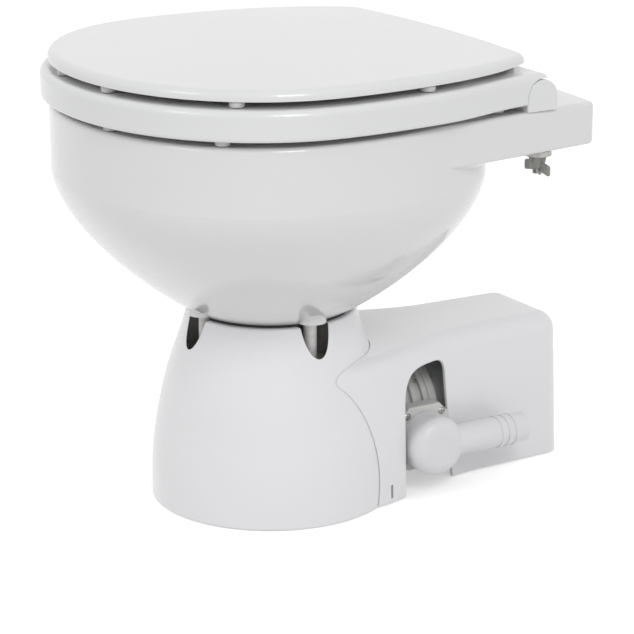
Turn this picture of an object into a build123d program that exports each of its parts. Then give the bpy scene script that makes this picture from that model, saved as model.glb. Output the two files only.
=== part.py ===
# Electric marine toilet: a white china bowl bolted to a bell-shaped pedestal, with a macerator
# pump and its motor lying behind the pedestal under a moulded cover.
#
# Millimetres. The origin is on the floor under the middle of the pedestal. The toilet faces -Y,
# +X is its left-hand side and +Z is up.

import os
from math import cos, sin, radians, pi, copysign

from build123d import *

os.makedirs("parts", exist_ok=True)

# Fits, shared by every piece
running_fit = 0.06          # radial play of a pin or shaft that turns
close_fit = 0.15            # play of a piece that is fastened where it lies
body_gap = 0.8              # air between pieces that move past each other
overrun = 5.0               # how far a cutter runs past the face that it opens

# Outline of lid, seat and rim, seen from above
lid_half_width = 170.0
widest_y = -23.0            # the outline is widest on this line
nose_length = 149.5          # from the widest line forwards to the nose
side_length = 236.0          # from the widest line back to where the two sides would meet
bowl_length = 185.5          # from the widest line back to the rear wall of the bowl
nose_power = 2.1            # 2 is an ellipse, more is squarer
side_power = 2.5
rear_bow = 4.0              # how far the rear edges of lid and seat bow out
nose_steps = 6
side_steps = 4

# Pedestal
pedestal_height = 159.5
pedestal_radius = 99.6
pedestal_profile_shares = (
    (0.0, 1.0), (0.26, 0.99), (0.51, 0.93), (0.71, 0.85), (0.88, 0.757), (1.0, 0.699),
)
pedestal_wall = 4.5
pedestal_foot_radius = 1.6   # rounding of its foot
pedestal_top_radius = 2.0
deck_thickness = 6.0
fixing_count = 4
floor_bolt_ring_radius = 82.0    # radius of the circle of floor bolts
floor_bolt_hole = 4.5       # radius
floor_lug_radius = 14.0
floor_lug_height = 8.0

# Joint between bowl and pedestal
gasket_thickness = 2.5
gasket_outer = 64.5
bolt_ring_radius = 64.0          # radius of the circle of pockets
stud_inset = 2.5            # the studs stand this much nearer to the axis than the pockets
pocket_radius = 13.5
pocket_wall = 3.5
pocket_depth = 27.5
pocket_floor_thickness = 6.0
stud_radius = 4.0
stud_embed = 9.0
sleeve_radius = 5.5
washer_radius = 8.5
washer_thickness = 1.6
nut_across = 13.0
nut_height = 6.5

# Bowl
rim_top = 331.5
belly_top = 278.0           # the rim band stands upright above this height
foot_radius = 66.0
belly_power = 1.6
swell_power = 1.1
china_wall = 9.0
basin_floor_thickness = 14.0
basin_foot_radius = 66.0
rim_width = 40.0
skirt_wall = 7.0
skirt_drop = 31.0
rim_edge_radius = 4.0
horn_radius = 40.0
horn_wall = 7.0
horn_drop = 22.0
section_points = 20
belly_level_shares = (0.0, 0.035, 0.12, 0.27, 0.46, 0.68, 0.87, 1.0)
lug_radius = 12.0
lug_height = 10.0

# Rear shelf of the bowl
shelf_thickness = 34.5
shelf_overhang = 54.5       # from the bowl's rear wall back to the shelf's rear edge
shelf_rear_width_share = 0.835   # of the width over the lid
shelf_mid_y = 150.0
shelf_mid_width_share = 0.885
shelf_front_y = 10.0
shelf_tuck = 8.0            # how far the front end of the shelf lies inside the rim
shelf_start_y = 75.0
shelf_side_radius = 200.0
shelf_rear_bow = 8.0
shelf_corner_radius = 6.0
shelf_edge_radius = 3.0
shelf_blend_height = 24.0
shelf_blend_reach = 20.0
shelf_blend_tuck = 3.0
blend_level_shares = (0.0, 0.4, 0.72, 1.0)

# Seat and lid
seat_overhang = 6.3         # the seat is this much larger than the lid all round
seat_bottom = 337.0
seat_thickness = 24.0
seat_edge_radius = 6.0
seat_under_radius = 2.5
seat_corner_radius = 3.0
hole_width_share = 0.612    # of the width over the lid
hole_half_length = 125.0
hole_setback = 11.0         # middle of the hole, behind the widest line
hole_edge_radius = 9.0
lid_gap = 5.5
lid_edge_height = 9.0
lid_crown = 2.5             # how far the middle of the lid stands above its edge
lid_edge_radius = 6.5
lid_rear_y = 160.5
lid_corner_radius = 16.0
lid_recess = 6.0
lid_border = 14.0
bumper_radius = 6.0
bumper_front_share = 0.585  # of the way from the widest line to the nose
bumper_rear_share = 0.37     # of the way from the widest line to the rear edge
seat_bumper_rear_share = 0.8
seat_bumper_front_share = 0.645
seat_bumper_inset = 8.0
nose_bumper_x = 38.0

# Seat hinge
hinge_y = 160.0
hinge_z = 342.0
pin_radius = 3.5
post_radius = 14.3
post_place_share = 0.718    # inner face of a post, of the half-width over the lid
post_width = 28.0
post_end_wall = 5.0
post_edge_radius = 1.5
seat_behind_hinge = 6.0
lug_inset = 25.0            # from the post inwards to the inner face of the lid's lug
lid_lug_width = 16.0
lid_lug_radius = 9.0
pin_inset = 9.0             # from that lug inwards to the pin's inner end
hinge_stud_y = 166.0
hinge_stud_radius = 4.0
hinge_stud_top_gap = 2.0
hinge_stud_tail = 16.0
hinge_washer_radius = 11.0
hinge_washer_thickness = 4.0
wing_hub_radius = 7.5
wing_hub_height = 11.0
wing_reach = 16.0
wing_thickness = 3.0
wing_height = 14.0

# Pump and motor, on one axis that runs from front to back
pump_z = 52.0
snout_start_y = 80.5
snout_radius = 33.0
chamber_start_y = 101.0
housing_end_y = 128.0
housing_radius = 42.0
housing_band_radius = 46.0
housing_band_width = 5.5
housing_band_count = 3
housing_band_round = 1.0
chopper_radius = 28.0       # bore in front of the wear plate
chamber_radius = 36.0       # bore behind the wear plate
wear_plate_y = 104.0
wear_plate_thickness = 3.0
wear_plate_hole = 13.0
seal_plate_thickness = 7.0
shaft_radius = 4.0
shaft_front_y = 89.5
blade_y = 94.5
blade_thickness = 3.0
blade_length = 24.0         # from the axis to the tip
blade_half_width = 6.0
impeller_y = 108.0
impeller_disc = 3.0
impeller_radius = 32.0
impeller_depth = 13.0
impeller_hub_radius = 9.0
vane_count = 5
vane_thickness = 3.5
vane_tip_share = 0.94
blade_shoulder_share = 0.55
seal_radius = 9.0
motor_radius = 38.0
can_wall = 2.0
can_length = 99.0
end_cap_length = 10.0
end_cap_wall = 4.0
bearing_radius = 11.0
bearing_width = 6.0
bearing_boss_wall = 3.0
magnet_thickness = 4.5
magnet_length = 55.0
armature_length = 42.0
armature_air = 1.2
slot_count = 10
slot_width = 3.6
slot_depth = 9.0
winding_length = 9.0
winding_radius = 24.0
commutator_radius = 11.0
commutator_length = 14.0
brush_plate_thickness = 3.0
brush_width = 7.0
tie_bolt_radius = 2.0
tie_bolt_ring_radius = 33.0
screw_radius = 1.8
screw_head_radius = 3.2
screw_head_height = 2.6
pump_screw_ring_radius = 42.0

# Waste duct inside the pedestal
duct_radius = 33.0
duct_wall = 4.0
duct_bend = 45.0
duct_turn = 90              # degrees
cup_wall = 3.6
duct_seal_gap = 2.5

# Motor cradle
cradle_half_width = 28.0
cradle_start_y = 165.0
cradle_length = 45.0
cradle_height = 30.0
cradle_plate = 3.0
pad_height = 3.0
pad_length = 14.0
tab_half_width = 24.0
tab_height = 22.0

# Discharge
port_y = 111.0
port_z = 41.0
port_bore = 12.0
port_boss_radius = 16.4
pad_back_x = 50.0
pad_thickness = 4.0
flange_thickness = 8.0
flange_half_width = 24.0
flange_rise = 30.0
flange_drop = 25.0
flange_chamfer = 9.0
flange_edge_radius = 1.2
flange_screw_y = 17.0
flange_screw_rise = 22.5
flange_low_screw_y = 19.3
flange_screw_drop = 14.5
collar_radius = 19.5
collar_thickness = 2.8
neck_radius = 17.0
elbow_bore = 13.5
elbow_radius = 25.0
elbow_depth = 27.0
elbow_round = 11.0
tail_radius = 12.7
tail_bore = 10.0
tail_end_y = 200.0
barb_rise = 0.9
barb_pitch = 7.0
barb_count = 3
tail_land = 7.0             # plain end of the tail, ahead of the barbs
valve_flange_radius = 13.0
valve_wall = 1.6
valve_length = 17.0
valve_lip_height = 4.4

# Motor cover
cover_top = 125.0
cover_lift = 1.0
cover_wall = 3.5
cover_draft = 4.5           # how much narrower each side is at the top
cover_front_y = 6.0
cover_front_half_width = 88.5
cover_cheek_y = 48.0
cover_cheek_half_width = 87.0
cover_waist_y = 100.0
cover_waist_half_width = 73.0
cover_neck_y = 145.0
cover_neck_half_width = 57.5
cover_body_y = 180.0
cover_body_half_width = 53.0
cover_rear_y = 263.0
cover_rear_half_width = 50.0
cover_corner_radius = 17.0
cover_edge_radius = 16.0
cover_seam = 0.5            # gap between the cover and the pedestal
arch_front_y = 83.0
arch_rear_y = 143.0
arch_rear_top_y = 134.0
arch_spring_z = 78.0
arch_top_z = 108.0
arch_top_y = 114.0
slit_y = 66.0
slit_width = 2.4
slit_bottom = 4.0
slit_height = 12.0
arch_edge_radius = 1.2
cover_screw_x = 16.0
cover_screw_z = 16.0
grommet_z = 42.0
grommet_radius = 6.5
grommet_flange_radius = 9.0
lead_bore = 3.5

# Rinse inlet
rinse_z = 269.0
rinse_bore = 7.0
rinse_tube_radius = 9.5
rinse_grommet_radius = 12.5
rinse_boss_rise = 2.0       # the china stands out this much to seat the grommet
rinse_flange_radius = 15.5
rinse_flange_thickness = 3.0
rinse_stand_off = 25.0      # from the bowl's rear wall to the elbow's corner
rinse_knuckle_radius = 13.0
rinse_tail_length = 48.0
rinse_land = 20.0           # plain end of the rinse tail, ahead of its bead
rinse_bead_width = 3.0

# Places worked out from the sizes above
foot_z = pedestal_height + gasket_thickness
pocket_floor = pedestal_height - pocket_depth
basin_floor = foot_z + basin_floor_thickness
shelf_bottom = rim_top - shelf_thickness
seat_top = seat_bottom + seat_thickness
lid_bottom = seat_top + lid_gap
lid_edge_top = lid_bottom + lid_edge_height
seat_rear_y = hinge_y + seat_behind_hinge
stud_ring_radius = bolt_ring_radius - stud_inset
seal_plate_end_y = housing_end_y + seal_plate_thickness
can_end_y = seal_plate_end_y + can_length
cap_end_y = can_end_y + end_cap_length
flange_back_x = pad_back_x + pad_thickness
flange_front_x = flange_back_x + flange_thickness
elbow_front_x = flange_front_x + body_gap + elbow_depth
tail_x = (flange_front_x + body_gap + elbow_front_x) / 2
pin_bore = pin_radius + running_fit
shaft_bore = shaft_radius + running_fit
magnet_outer = motor_radius - can_wall - close_fit
armature_radius = magnet_outer - magnet_thickness - armature_air
bowl_rear_y = widest_y + bowl_length
shelf_rear_y = bowl_rear_y + shelf_overhang
rinse_elbow_y = bowl_rear_y + rinse_stand_off
post_inner_x = lid_half_width * post_place_share
lug_inner_x = post_inner_x - lug_inset
pin_inner_x = lug_inner_x - pin_inset
hinge_stud_x = post_inner_x + post_width / 2

pump_axis = Plane(origin=(0, 0, pump_z), x_dir=(1, 0, 0), z_dir=(0, 1, 0))
port_axis = Plane(origin=(0, port_y, port_z), x_dir=(0, 1, 0), z_dir=(1, 0, 0))
rinse_axis = Plane(origin=(0, 0, rinse_z), x_dir=(1, 0, 0), z_dir=(0, 1, 0))


pedestal_neck_share = pedestal_profile_shares[-2][1]
flange_corners = (
    (-flange_half_width, flange_rise - flange_chamfer),
    (-flange_half_width + flange_chamfer, flange_rise),
    (flange_half_width - flange_chamfer, flange_rise),
    (flange_half_width, flange_rise - flange_chamfer),
    (flange_half_width, flange_chamfer - flange_drop),
    (flange_half_width - flange_chamfer, -flange_drop),
    (flange_chamfer - flange_half_width, -flange_drop),
    (-flange_half_width, flange_chamfer - flange_drop),
)
flange_screw_places = (
    (-flange_screw_y, flange_screw_rise),
    (flange_screw_y, flange_screw_rise),
    (flange_low_screw_y, -flange_screw_drop),
    (-flange_low_screw_y, -flange_screw_drop),
)


def power_point(half_width, reach, power, angle):
    """Point of a superellipse round the widest line, at this angle."""
    across = half_width * copysign(abs(cos(angle)) ** (2 / power), cos(angle))
    along = reach * copysign(abs(sin(angle)) ** (2 / power), sin(angle))
    return across, widest_y + along


def side_width(y, grow):
    """Half-width of the lid's outline, grown by this much, behind the widest line."""
    share = (y - widest_y) / (side_length + grow)
    return (lid_half_width + grow) * (1 - share**side_power) ** (1 / side_power)


def outline_points(grow, rear_y):
    """The lid's outline from its left rear corner round the nose to its right rear corner."""
    side = []
    for step in range(nose_steps + 1):
        angle = radians(90) * (step / nose_steps - 1)
        side.append(power_point(lid_half_width + grow, nose_length + grow, nose_power, angle))
    for step in range(1, side_steps + 1):
        y = widest_y + (rear_y - widest_y) * step / side_steps
        side.append((side_width(y, grow), y))
    return [(-x, y) for x, y in reversed(side[1:])] + side


def egg_points(grow, reach_back=0):
    """The bowl's outline, closed at the rear, grown by this much and drawn out at the rear."""
    points = []
    for step in range(section_points):
        angle = 2 * pi * step / section_points - pi / 2
        if sin(angle) < 0:
            reach, power = nose_length, nose_power
        else:
            reach, power = bowl_length + reach_back, side_power
        points.append(power_point(lid_half_width + grow, reach + grow, power, angle))
    return points


def belly_points(height, bottom, start_radius, grow):
    """Section of the bowl's belly, which swells from a round foot to the rim's outline."""
    fall = (belly_top - height) / (belly_top - bottom)
    swell = (1 - fall**belly_power) ** (1 / swell_power)
    points = []
    for step, (egg_x, egg_y) in enumerate(egg_points(grow)):
        angle = 2 * pi * step / section_points - pi / 2
        round_x, round_y = start_radius * cos(angle), start_radius * sin(angle)
        points.append((round_x + (egg_x - round_x) * swell, round_y + (egg_y - round_y) * swell))
    return points


def cover_points(inset, shrink):
    """Left side of the cover's outline, from its front to where its straight flank begins."""
    return [
        (cover_front_half_width - inset - shrink, cover_front_y),
        (cover_cheek_half_width - inset - shrink, cover_cheek_y),
        (cover_waist_half_width - inset - shrink, cover_waist_y),
        (cover_neck_half_width - inset - shrink, cover_neck_y),
        (cover_body_half_width - inset - shrink, cover_body_y),
    ]


def pedestal_side(grow):
    """Points of the pedestal's bell, from the floor up, with its radius grown by this much."""
    return [
        (pedestal_radius * wide + grow, pedestal_height * high) for high, wide in pedestal_profile_shares
    ]


def save(piece, name):
    """Name a finished piece and write it."""
    piece.part.label = name
    export_step(piece.part, f"parts/{name}.step")


# Pedestal
with BuildPart() as pedestal:
    with BuildSketch(Plane.XZ):
        with BuildLine():
            bell = Spline(*pedestal_side(0))
            Polyline(bell @ 1, (0, pedestal_height), (0, 0), bell @ 0)
        make_face()
    revolve(axis=Axis.Z)
    fillet(pedestal.edges().group_by(Axis.Z)[-1], pedestal_top_radius)
    fillet(pedestal.edges().group_by(Axis.Z)[0], pedestal_foot_radius)
    with BuildSketch(Plane.XZ):
        with BuildLine():
            bell = Spline(*pedestal_side(-pedestal_wall)[:-1])
            deck_bottom = pedestal_height - deck_thickness
            Polyline(bell @ 1, ((bell @ 1).X, deck_bottom), (0, deck_bottom), (0, 0), bell @ 0)
        make_face()
    revolve(axis=Axis.Z, mode=Mode.SUBTRACT)
    # The walls of the four bolt pockets, kept inside the bell
    with BuildSketch(Plane.XY.offset(pocket_floor - pocket_floor_thickness)):
        with PolarLocations(bolt_ring_radius, fixing_count):
            Circle(pocket_radius + pocket_wall)
        Circle(pedestal_radius * pedestal_neck_share - pedestal_wall, mode=Mode.INTERSECT)
    extrude(amount=deck_bottom - pocket_floor + pocket_floor_thickness)
    with BuildSketch(Plane.XY.offset(pocket_floor)):
        with PolarLocations(bolt_ring_radius, fixing_count):
            Circle(pocket_radius)
    extrude(amount=pedestal_height - pocket_floor + overrun, mode=Mode.SUBTRACT)
    with BuildSketch(Plane.XY.offset(pocket_floor + overrun)):
        with PolarLocations(stud_ring_radius, fixing_count):
            Circle(stud_radius + close_fit)
    extrude(amount=-pocket_floor_thickness - 2 * overrun, mode=Mode.SUBTRACT)
    # The opening for the bowl's horn, and the one for the pump's snout
    with BuildSketch(Plane.XY.offset(deck_bottom - overrun)):
        Circle(horn_radius + body_gap)
    extrude(amount=deck_thickness + 2 * overrun, mode=Mode.SUBTRACT)
    with BuildSketch(pump_axis):
        Circle(snout_radius + 3 * body_gap)
    extrude(amount=pedestal_radius + overrun, mode=Mode.SUBTRACT)
    # Lugs inside the bell for the floor bolts
    with BuildSketch():
        with PolarLocations(floor_bolt_ring_radius, fixing_count, start_angle=45):
            Circle(floor_lug_radius)
        Circle(pedestal_radius - pedestal_wall / 2, mode=Mode.INTERSECT)
    extrude(amount=floor_lug_height)
    with BuildSketch(Plane.XY.offset(-overrun)):
        with PolarLocations(floor_bolt_ring_radius, fixing_count, start_angle=45):
            Circle(floor_bolt_hole)
    extrude(amount=floor_lug_height + 2 * overrun, mode=Mode.SUBTRACT)
save(pedestal, "pedestal")

# Seal in the seam between bowl and pedestal, notched round the bolt pockets
with BuildPart() as bowl_gasket:
    with BuildSketch(Plane.XY.offset(pedestal_height)):
        Circle(gasket_outer)
        Circle(horn_radius + body_gap, mode=Mode.SUBTRACT)
        with PolarLocations(bolt_ring_radius, fixing_count):
            Circle(pocket_radius, mode=Mode.SUBTRACT)
    extrude(amount=gasket_thickness)
save(bowl_gasket, "bowl_gasket")

# Studs, sleeves, washers and nuts that clamp the bowl to the pedestal
nut_seat = pocket_floor - pocket_floor_thickness
with BuildPart() as bowl_studs:
    with BuildSketch(Plane.XY.offset(nut_seat - washer_thickness - nut_height - stud_radius)):
        with PolarLocations(stud_ring_radius, fixing_count):
            Circle(stud_radius)
    extrude(amount=foot_z + stud_embed - nut_seat + washer_thickness + nut_height + stud_radius)
save(bowl_studs, "bowl_studs")

with BuildPart() as bolt_sleeves:
    with BuildSketch(Plane.XY.offset(pocket_floor)):
        with PolarLocations(stud_ring_radius, fixing_count):
            Circle(sleeve_radius)
            Circle(stud_radius + close_fit, mode=Mode.SUBTRACT)
    extrude(amount=foot_z - pocket_floor)
save(bolt_sleeves, "bolt_sleeves")

with BuildPart() as bowl_washers:
    with BuildSketch(Plane.XY.offset(nut_seat)):
        with PolarLocations(stud_ring_radius, fixing_count):
            Circle(washer_radius)
            Circle(stud_radius + close_fit, mode=Mode.SUBTRACT)
    extrude(amount=-washer_thickness)
save(bowl_washers, "bowl_washers")

with BuildPart() as bowl_nuts:
    with BuildSketch(Plane.XY.offset(nut_seat - washer_thickness)):
        with PolarLocations(stud_ring_radius, fixing_count):
            RegularPolygon(nut_across / 2, 6, major_radius=False)
            Circle(stud_radius + close_fit, mode=Mode.SUBTRACT)
    extrude(amount=-nut_height)
save(bowl_nuts, "bowl_nuts")

# Rear shelf of the bowl, with its edges rounded, before it joins the bowl
with BuildPart() as shelf:
    with BuildSketch(Plane.XY.offset(shelf_bottom)) as shelf_outline:
        with BuildLine():
            right = Polyline(
                (side_width(shelf_front_y, 0) - shelf_tuck, shelf_front_y),
                (side_width(shelf_start_y, 0) - shelf_tuck / 2, shelf_start_y),
                (lid_half_width * shelf_mid_width_share, shelf_mid_y),
                (lid_half_width * shelf_rear_width_share, shelf_rear_y),
            )
            left = mirror(right, about=Plane.YZ)
            ThreePointArc(right @ 1, (0, shelf_rear_y + shelf_rear_bow), left @ 1)
            Line(right @ 0, left @ 0)
        make_face()
        fillet(shelf_outline.vertices().sort_by(Axis.Y)[2:-2], shelf_side_radius)
        fillet(shelf_outline.vertices().sort_by(Axis.Y)[-2:], shelf_corner_radius)
    extrude(amount=shelf_thickness)
    for level, radius in ((-1, rim_edge_radius), (0, shelf_edge_radius)):
        level_edges = shelf.edges().group_by(Axis.Z)[level]
        fillet(level_edges.sort_by(Axis.Y)[1:], radius)

# Bowl: the belly swells from its round foot to the egg-shaped rim band, the shelf for the seat's
# hinges stands out behind it, and the rinse channel runs under the rim behind a hanging skirt
with BuildPart() as bowl:
    for share in belly_level_shares:
        height = foot_z + (belly_top - foot_z) * share
        with BuildSketch(Plane.XY.offset(height)):
            with BuildLine():
                Spline(*belly_points(height, foot_z, foot_radius, 0), periodic=True)
            make_face()
    loft()
    with BuildSketch(Plane.XY.offset(belly_top)):
        with BuildLine():
            Spline(*egg_points(0), periodic=True)
        make_face()
    extrude(amount=rim_top - belly_top)
    fillet(bowl.faces().sort_by(Axis.Z)[-1].outer_wire().edges(), rim_edge_radius)
    add(shelf.part)
    # The hollow curve under the shelf
    for share in blend_level_shares:
        with BuildSketch(Plane.XY.offset(shelf_bottom - shelf_blend_height * (1 - share))):
            with BuildLine():
                Spline(*egg_points(-shelf_blend_tuck, shelf_blend_reach * share**3), periodic=True)
            make_face()
    loft()
    with BuildSketch(rinse_axis.offset(bowl_rear_y - china_wall)):
        Circle(rinse_flange_radius)
    extrude(amount=china_wall + rinse_boss_rise)
    # Bosses over the bolt pockets, and the horn that reaches down into the duct
    with BuildSketch(Plane.XY.offset(foot_z)):
        with PolarLocations(bolt_ring_radius, fixing_count):
            Circle(lug_radius)
    extrude(amount=lug_height)
    with BuildSketch(Plane.XY.offset(basin_floor)):
        Circle(horn_radius)
    extrude(amount=-basin_floor_thickness - horn_drop)
    # Basin, with the space under the rim
    for share in belly_level_shares:
        height = basin_floor + (belly_top - basin_floor) * share
        with BuildSketch(Plane.XY.offset(height)):
            with BuildLine():
                Spline(*belly_points(height, basin_floor, basin_foot_radius, -china_wall), periodic=True)
            make_face()
    loft(mode=Mode.SUBTRACT)
    with BuildSketch(Plane.XY.offset(belly_top)):
        with BuildLine():
            Spline(*egg_points(-china_wall), periodic=True)
        make_face()
    extrude(amount=rim_top - china_wall - belly_top, mode=Mode.SUBTRACT)
    # Hanging skirt of the rim, then the mouth through it
    with BuildSketch(Plane.XY.offset(rim_top - skirt_drop)):
        with BuildLine():
            Spline(*egg_points(skirt_wall - rim_width), periodic=True)
        make_face()
    extrude(amount=skirt_drop - china_wall / 2)
    with BuildSketch(Plane.XY.offset(rim_top - skirt_drop)):
        with BuildLine():
            Spline(*egg_points(-rim_width), periodic=True)
        make_face()
    extrude(amount=skirt_drop + overrun, mode=Mode.SUBTRACT)
    with BuildSketch(Plane.XY.offset(basin_floor + overrun)):
        Circle(horn_radius - horn_wall)
    extrude(amount=-basin_floor_thickness - horn_drop - 2 * overrun, mode=Mode.SUBTRACT)
    # Blind holes for the studs, holes for the seat's hinges and for the rinse inlet
    with BuildSketch(Plane.XY.offset(foot_z)):
        with PolarLocations(stud_ring_radius, fixing_count):
            Circle(stud_radius + close_fit)
    extrude(amount=stud_embed + close_fit, mode=Mode.SUBTRACT)
    with BuildSketch(Plane.XY.offset(shelf_bottom - overrun)):
        with Locations((-hinge_stud_x, hinge_stud_y), (hinge_stud_x, hinge_stud_y)):
            Circle(hinge_stud_radius + body_gap)
    extrude(amount=shelf_thickness + 2 * overrun, mode=Mode.SUBTRACT)
    with BuildSketch(rinse_axis.offset(bowl_rear_y - china_wall - overrun)):
        Circle(rinse_grommet_radius + close_fit)
    extrude(amount=china_wall + rinse_boss_rise + 2 * overrun, mode=Mode.SUBTRACT)
save(bowl, "bowl")

# Lid: a crowned plate with a rounded edge, recessed underneath, with a hinge lug at each side
lid_web_front = hinge_y - lid_lug_radius
lid_web_rear = lid_rear_y - lid_edge_radius / 2
with BuildPart() as lid:
    with BuildSketch(Plane.XY.offset(lid_bottom)) as lid_outline:
        with BuildLine():
            edge = Spline(*outline_points(0, lid_rear_y))
            ThreePointArc(edge @ 1, (0, lid_rear_y + rear_bow), edge @ 0)
        make_face()
        fillet(lid_outline.vertices(), lid_corner_radius)
    extrude(amount=lid_edge_height + lid_crown)
    crown_radius = (nose_length**2 + lid_crown**2) / (2 * lid_crown)
    with Locations((0, 0, lid_edge_top + lid_crown - crown_radius)):
        Sphere(crown_radius, mode=Mode.INTERSECT)
    fillet(lid.faces().sort_by(Axis.Z)[-1].outer_wire().edges(), lid_edge_radius)
    with BuildSketch(Plane.XY.offset(lid_bottom)):
        with BuildLine():
            edge = Spline(*outline_points(-lid_border, lid_rear_y - lid_border))
            ThreePointArc(edge @ 1, (0, lid_rear_y - lid_border + rear_bow), edge @ 0)
        make_face()
    extrude(amount=lid_recess, mode=Mode.SUBTRACT)
    for side in (-1, 1):
        with BuildSketch(Plane.YZ.offset(side * lug_inner_x)):
            with Locations((hinge_y, hinge_z)):
                Circle(lid_lug_radius)
            with BuildLine():
                Polyline(
                    (lid_web_front, hinge_z),
                    (lid_web_front, lid_bottom + lid_recess),
                    (lid_web_rear, lid_bottom + lid_recess),
                    (lid_web_rear, hinge_z + lid_lug_radius / 2),
                    (hinge_y, hinge_z),
                    close=True,
                )
            make_face()
        extrude(amount=side * lid_lug_width)
        with BuildSketch(Plane.YZ.offset(side * (lug_inner_x - overrun))):
            with Locations((hinge_y, hinge_z)):
                Circle(pin_bore)
        extrude(amount=side * (lid_lug_width + 2 * overrun), mode=Mode.SUBTRACT)
save(lid, "lid")

# Seat: a ring with rounded edges, whose rear corners reach out over the hinge posts
post_pocket = post_radius + 1.5 * body_gap
with BuildPart() as seat:
    with BuildSketch(Plane.XY.offset(seat_bottom)) as seat_outline:
        with BuildLine():
            ear_x = post_inner_x + post_width
            middle = outline_points(seat_overhang, seat_rear_y)[1:-1]
            edge = Spline((-ear_x, seat_rear_y), *middle, (ear_x, seat_rear_y))
            Line(edge @ 1, edge @ 0)
        make_face()
        fillet(seat_outline.vertices(), seat_corner_radius)
    extrude(amount=seat_thickness)
    fillet(seat.faces().sort_by(Axis.Z)[-1].outer_wire().edges(), seat_edge_radius)
    fillet(seat.faces().sort_by(Axis.Z)[0].outer_wire().edges(), seat_under_radius)
    with BuildSketch(Plane.XY.offset(seat_bottom - overrun)):
        with Locations((0, widest_y + hole_setback)):
            Ellipse(lid_half_width * hole_width_share, hole_half_length)
    extrude(amount=seat_thickness + 2 * overrun, mode=Mode.SUBTRACT)
    hole_edge = seat.faces().sort_by(Axis.Z)[-1].inner_wires()[0].edges()
    fillet(hole_edge, hole_edge_radius)
    for side in (-1, 1):
        # Room for the hinge post, round the hinge's axis
        with BuildSketch(Plane.YZ.offset(side * (post_inner_x - body_gap))):
            with Locations((hinge_y, hinge_z)):
                Circle(post_pocket)
            with Locations((hinge_y - post_pocket, hinge_z)):
                Rectangle(3 * post_pocket, post_pocket, align=(Align.MIN, Align.MAX))
            with Locations((hinge_y, hinge_z)):
                Rectangle(2 * post_pocket, post_pocket, align=(Align.MIN, Align.MIN))
        extrude(amount=side * (post_width + 2 * overrun), mode=Mode.SUBTRACT)
        # Slot for the lid's lug
        with BuildSketch(Plane.XY.offset(seat_bottom - overrun)):
            with Locations((side * (lug_inner_x + lid_lug_width / 2), seat_rear_y)):
                Rectangle(
                    lid_lug_width + 2 * body_gap,
                    2 * (seat_behind_hinge + lid_lug_radius + body_gap),
                )
        extrude(amount=seat_thickness + 2 * overrun, mode=Mode.SUBTRACT)
        with BuildSketch(Plane.YZ.offset(side * pin_inner_x)):
            with Locations((hinge_y, hinge_z)):
                Circle(pin_bore)
        extrude(amount=side * (post_inner_x - pin_inner_x + overrun), mode=Mode.SUBTRACT)
save(seat, "seat")

# Hinge pins
pin_outer_x = post_inner_x + post_width - post_end_wall - body_gap
with BuildPart() as hinge_pins:
    for side in (-1, 1):
        with BuildSketch(Plane.YZ.offset(side * (pin_inner_x + close_fit))):
            with Locations((hinge_y, hinge_z)):
                Circle(pin_radius)
        extrude(amount=side * (pin_outer_x - pin_inner_x - close_fit))
save(hinge_pins, "hinge_pins")

# Hinge posts, studs, washers and wing nuts, one set at each side
hinge_stud_top = hinge_z - pin_bore - hinge_stud_top_gap
washer_bottom = shelf_bottom - hinge_washer_thickness
for side, hand in ((-1, "right"), (1, "left")):
    with BuildPart() as hinge_post:
        with BuildSketch(Plane.YZ.offset(side * post_inner_x)):
            with Locations((hinge_y, hinge_z)):
                Circle(post_radius)
            with Locations((hinge_y, rim_top)):
                Rectangle(2 * post_radius, hinge_z - rim_top, align=(Align.CENTER, Align.MIN))
        extrude(amount=side * post_width)
        with BuildSketch(Plane.XY.offset(rim_top)):
            with Locations((side * (post_inner_x + post_width / 2), hinge_y)):
                Rectangle(2 * post_width, 2 * post_width)
        extrude(amount=-post_width, mode=Mode.SUBTRACT)
        fillet(hinge_post.faces().sort_by(Axis.X)[0].edges().sort_by(Axis.Z)[1:], post_edge_radius)
        fillet(hinge_post.faces().sort_by(Axis.X)[-1].edges().sort_by(Axis.Z)[1:], post_edge_radius)
        with BuildSketch(Plane.YZ.offset(side * post_inner_x)):
            with Locations((hinge_y, hinge_z)):
                Circle(pin_bore)
        extrude(amount=side * (post_width - post_end_wall), mode=Mode.SUBTRACT)
        with BuildSketch(Plane.XY.offset(rim_top)):
            with Locations((side * hinge_stud_x, hinge_stud_y)):
                Circle(hinge_stud_radius + close_fit)
        extrude(amount=hinge_stud_top - rim_top + close_fit, mode=Mode.SUBTRACT)
    save(hinge_post, f"hinge_post_{hand}")

with BuildPart() as hinge_studs:
    with BuildSketch(Plane.XY.offset(washer_bottom - hinge_stud_tail)):
        with Locations((-hinge_stud_x, hinge_stud_y), (hinge_stud_x, hinge_stud_y)):
            Circle(hinge_stud_radius)
    extrude(amount=hinge_stud_top - washer_bottom + hinge_stud_tail)
save(hinge_studs, "hinge_studs")

with BuildPart() as hinge_washers:
    with BuildSketch(Plane.XY.offset(shelf_bottom)):
        with Locations((-hinge_stud_x, hinge_stud_y), (hinge_stud_x, hinge_stud_y)):
            Circle(hinge_washer_radius)
            Circle(hinge_stud_radius + close_fit, mode=Mode.SUBTRACT)
    extrude(amount=-hinge_washer_thickness)
save(hinge_washers, "hinge_washers")

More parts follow.
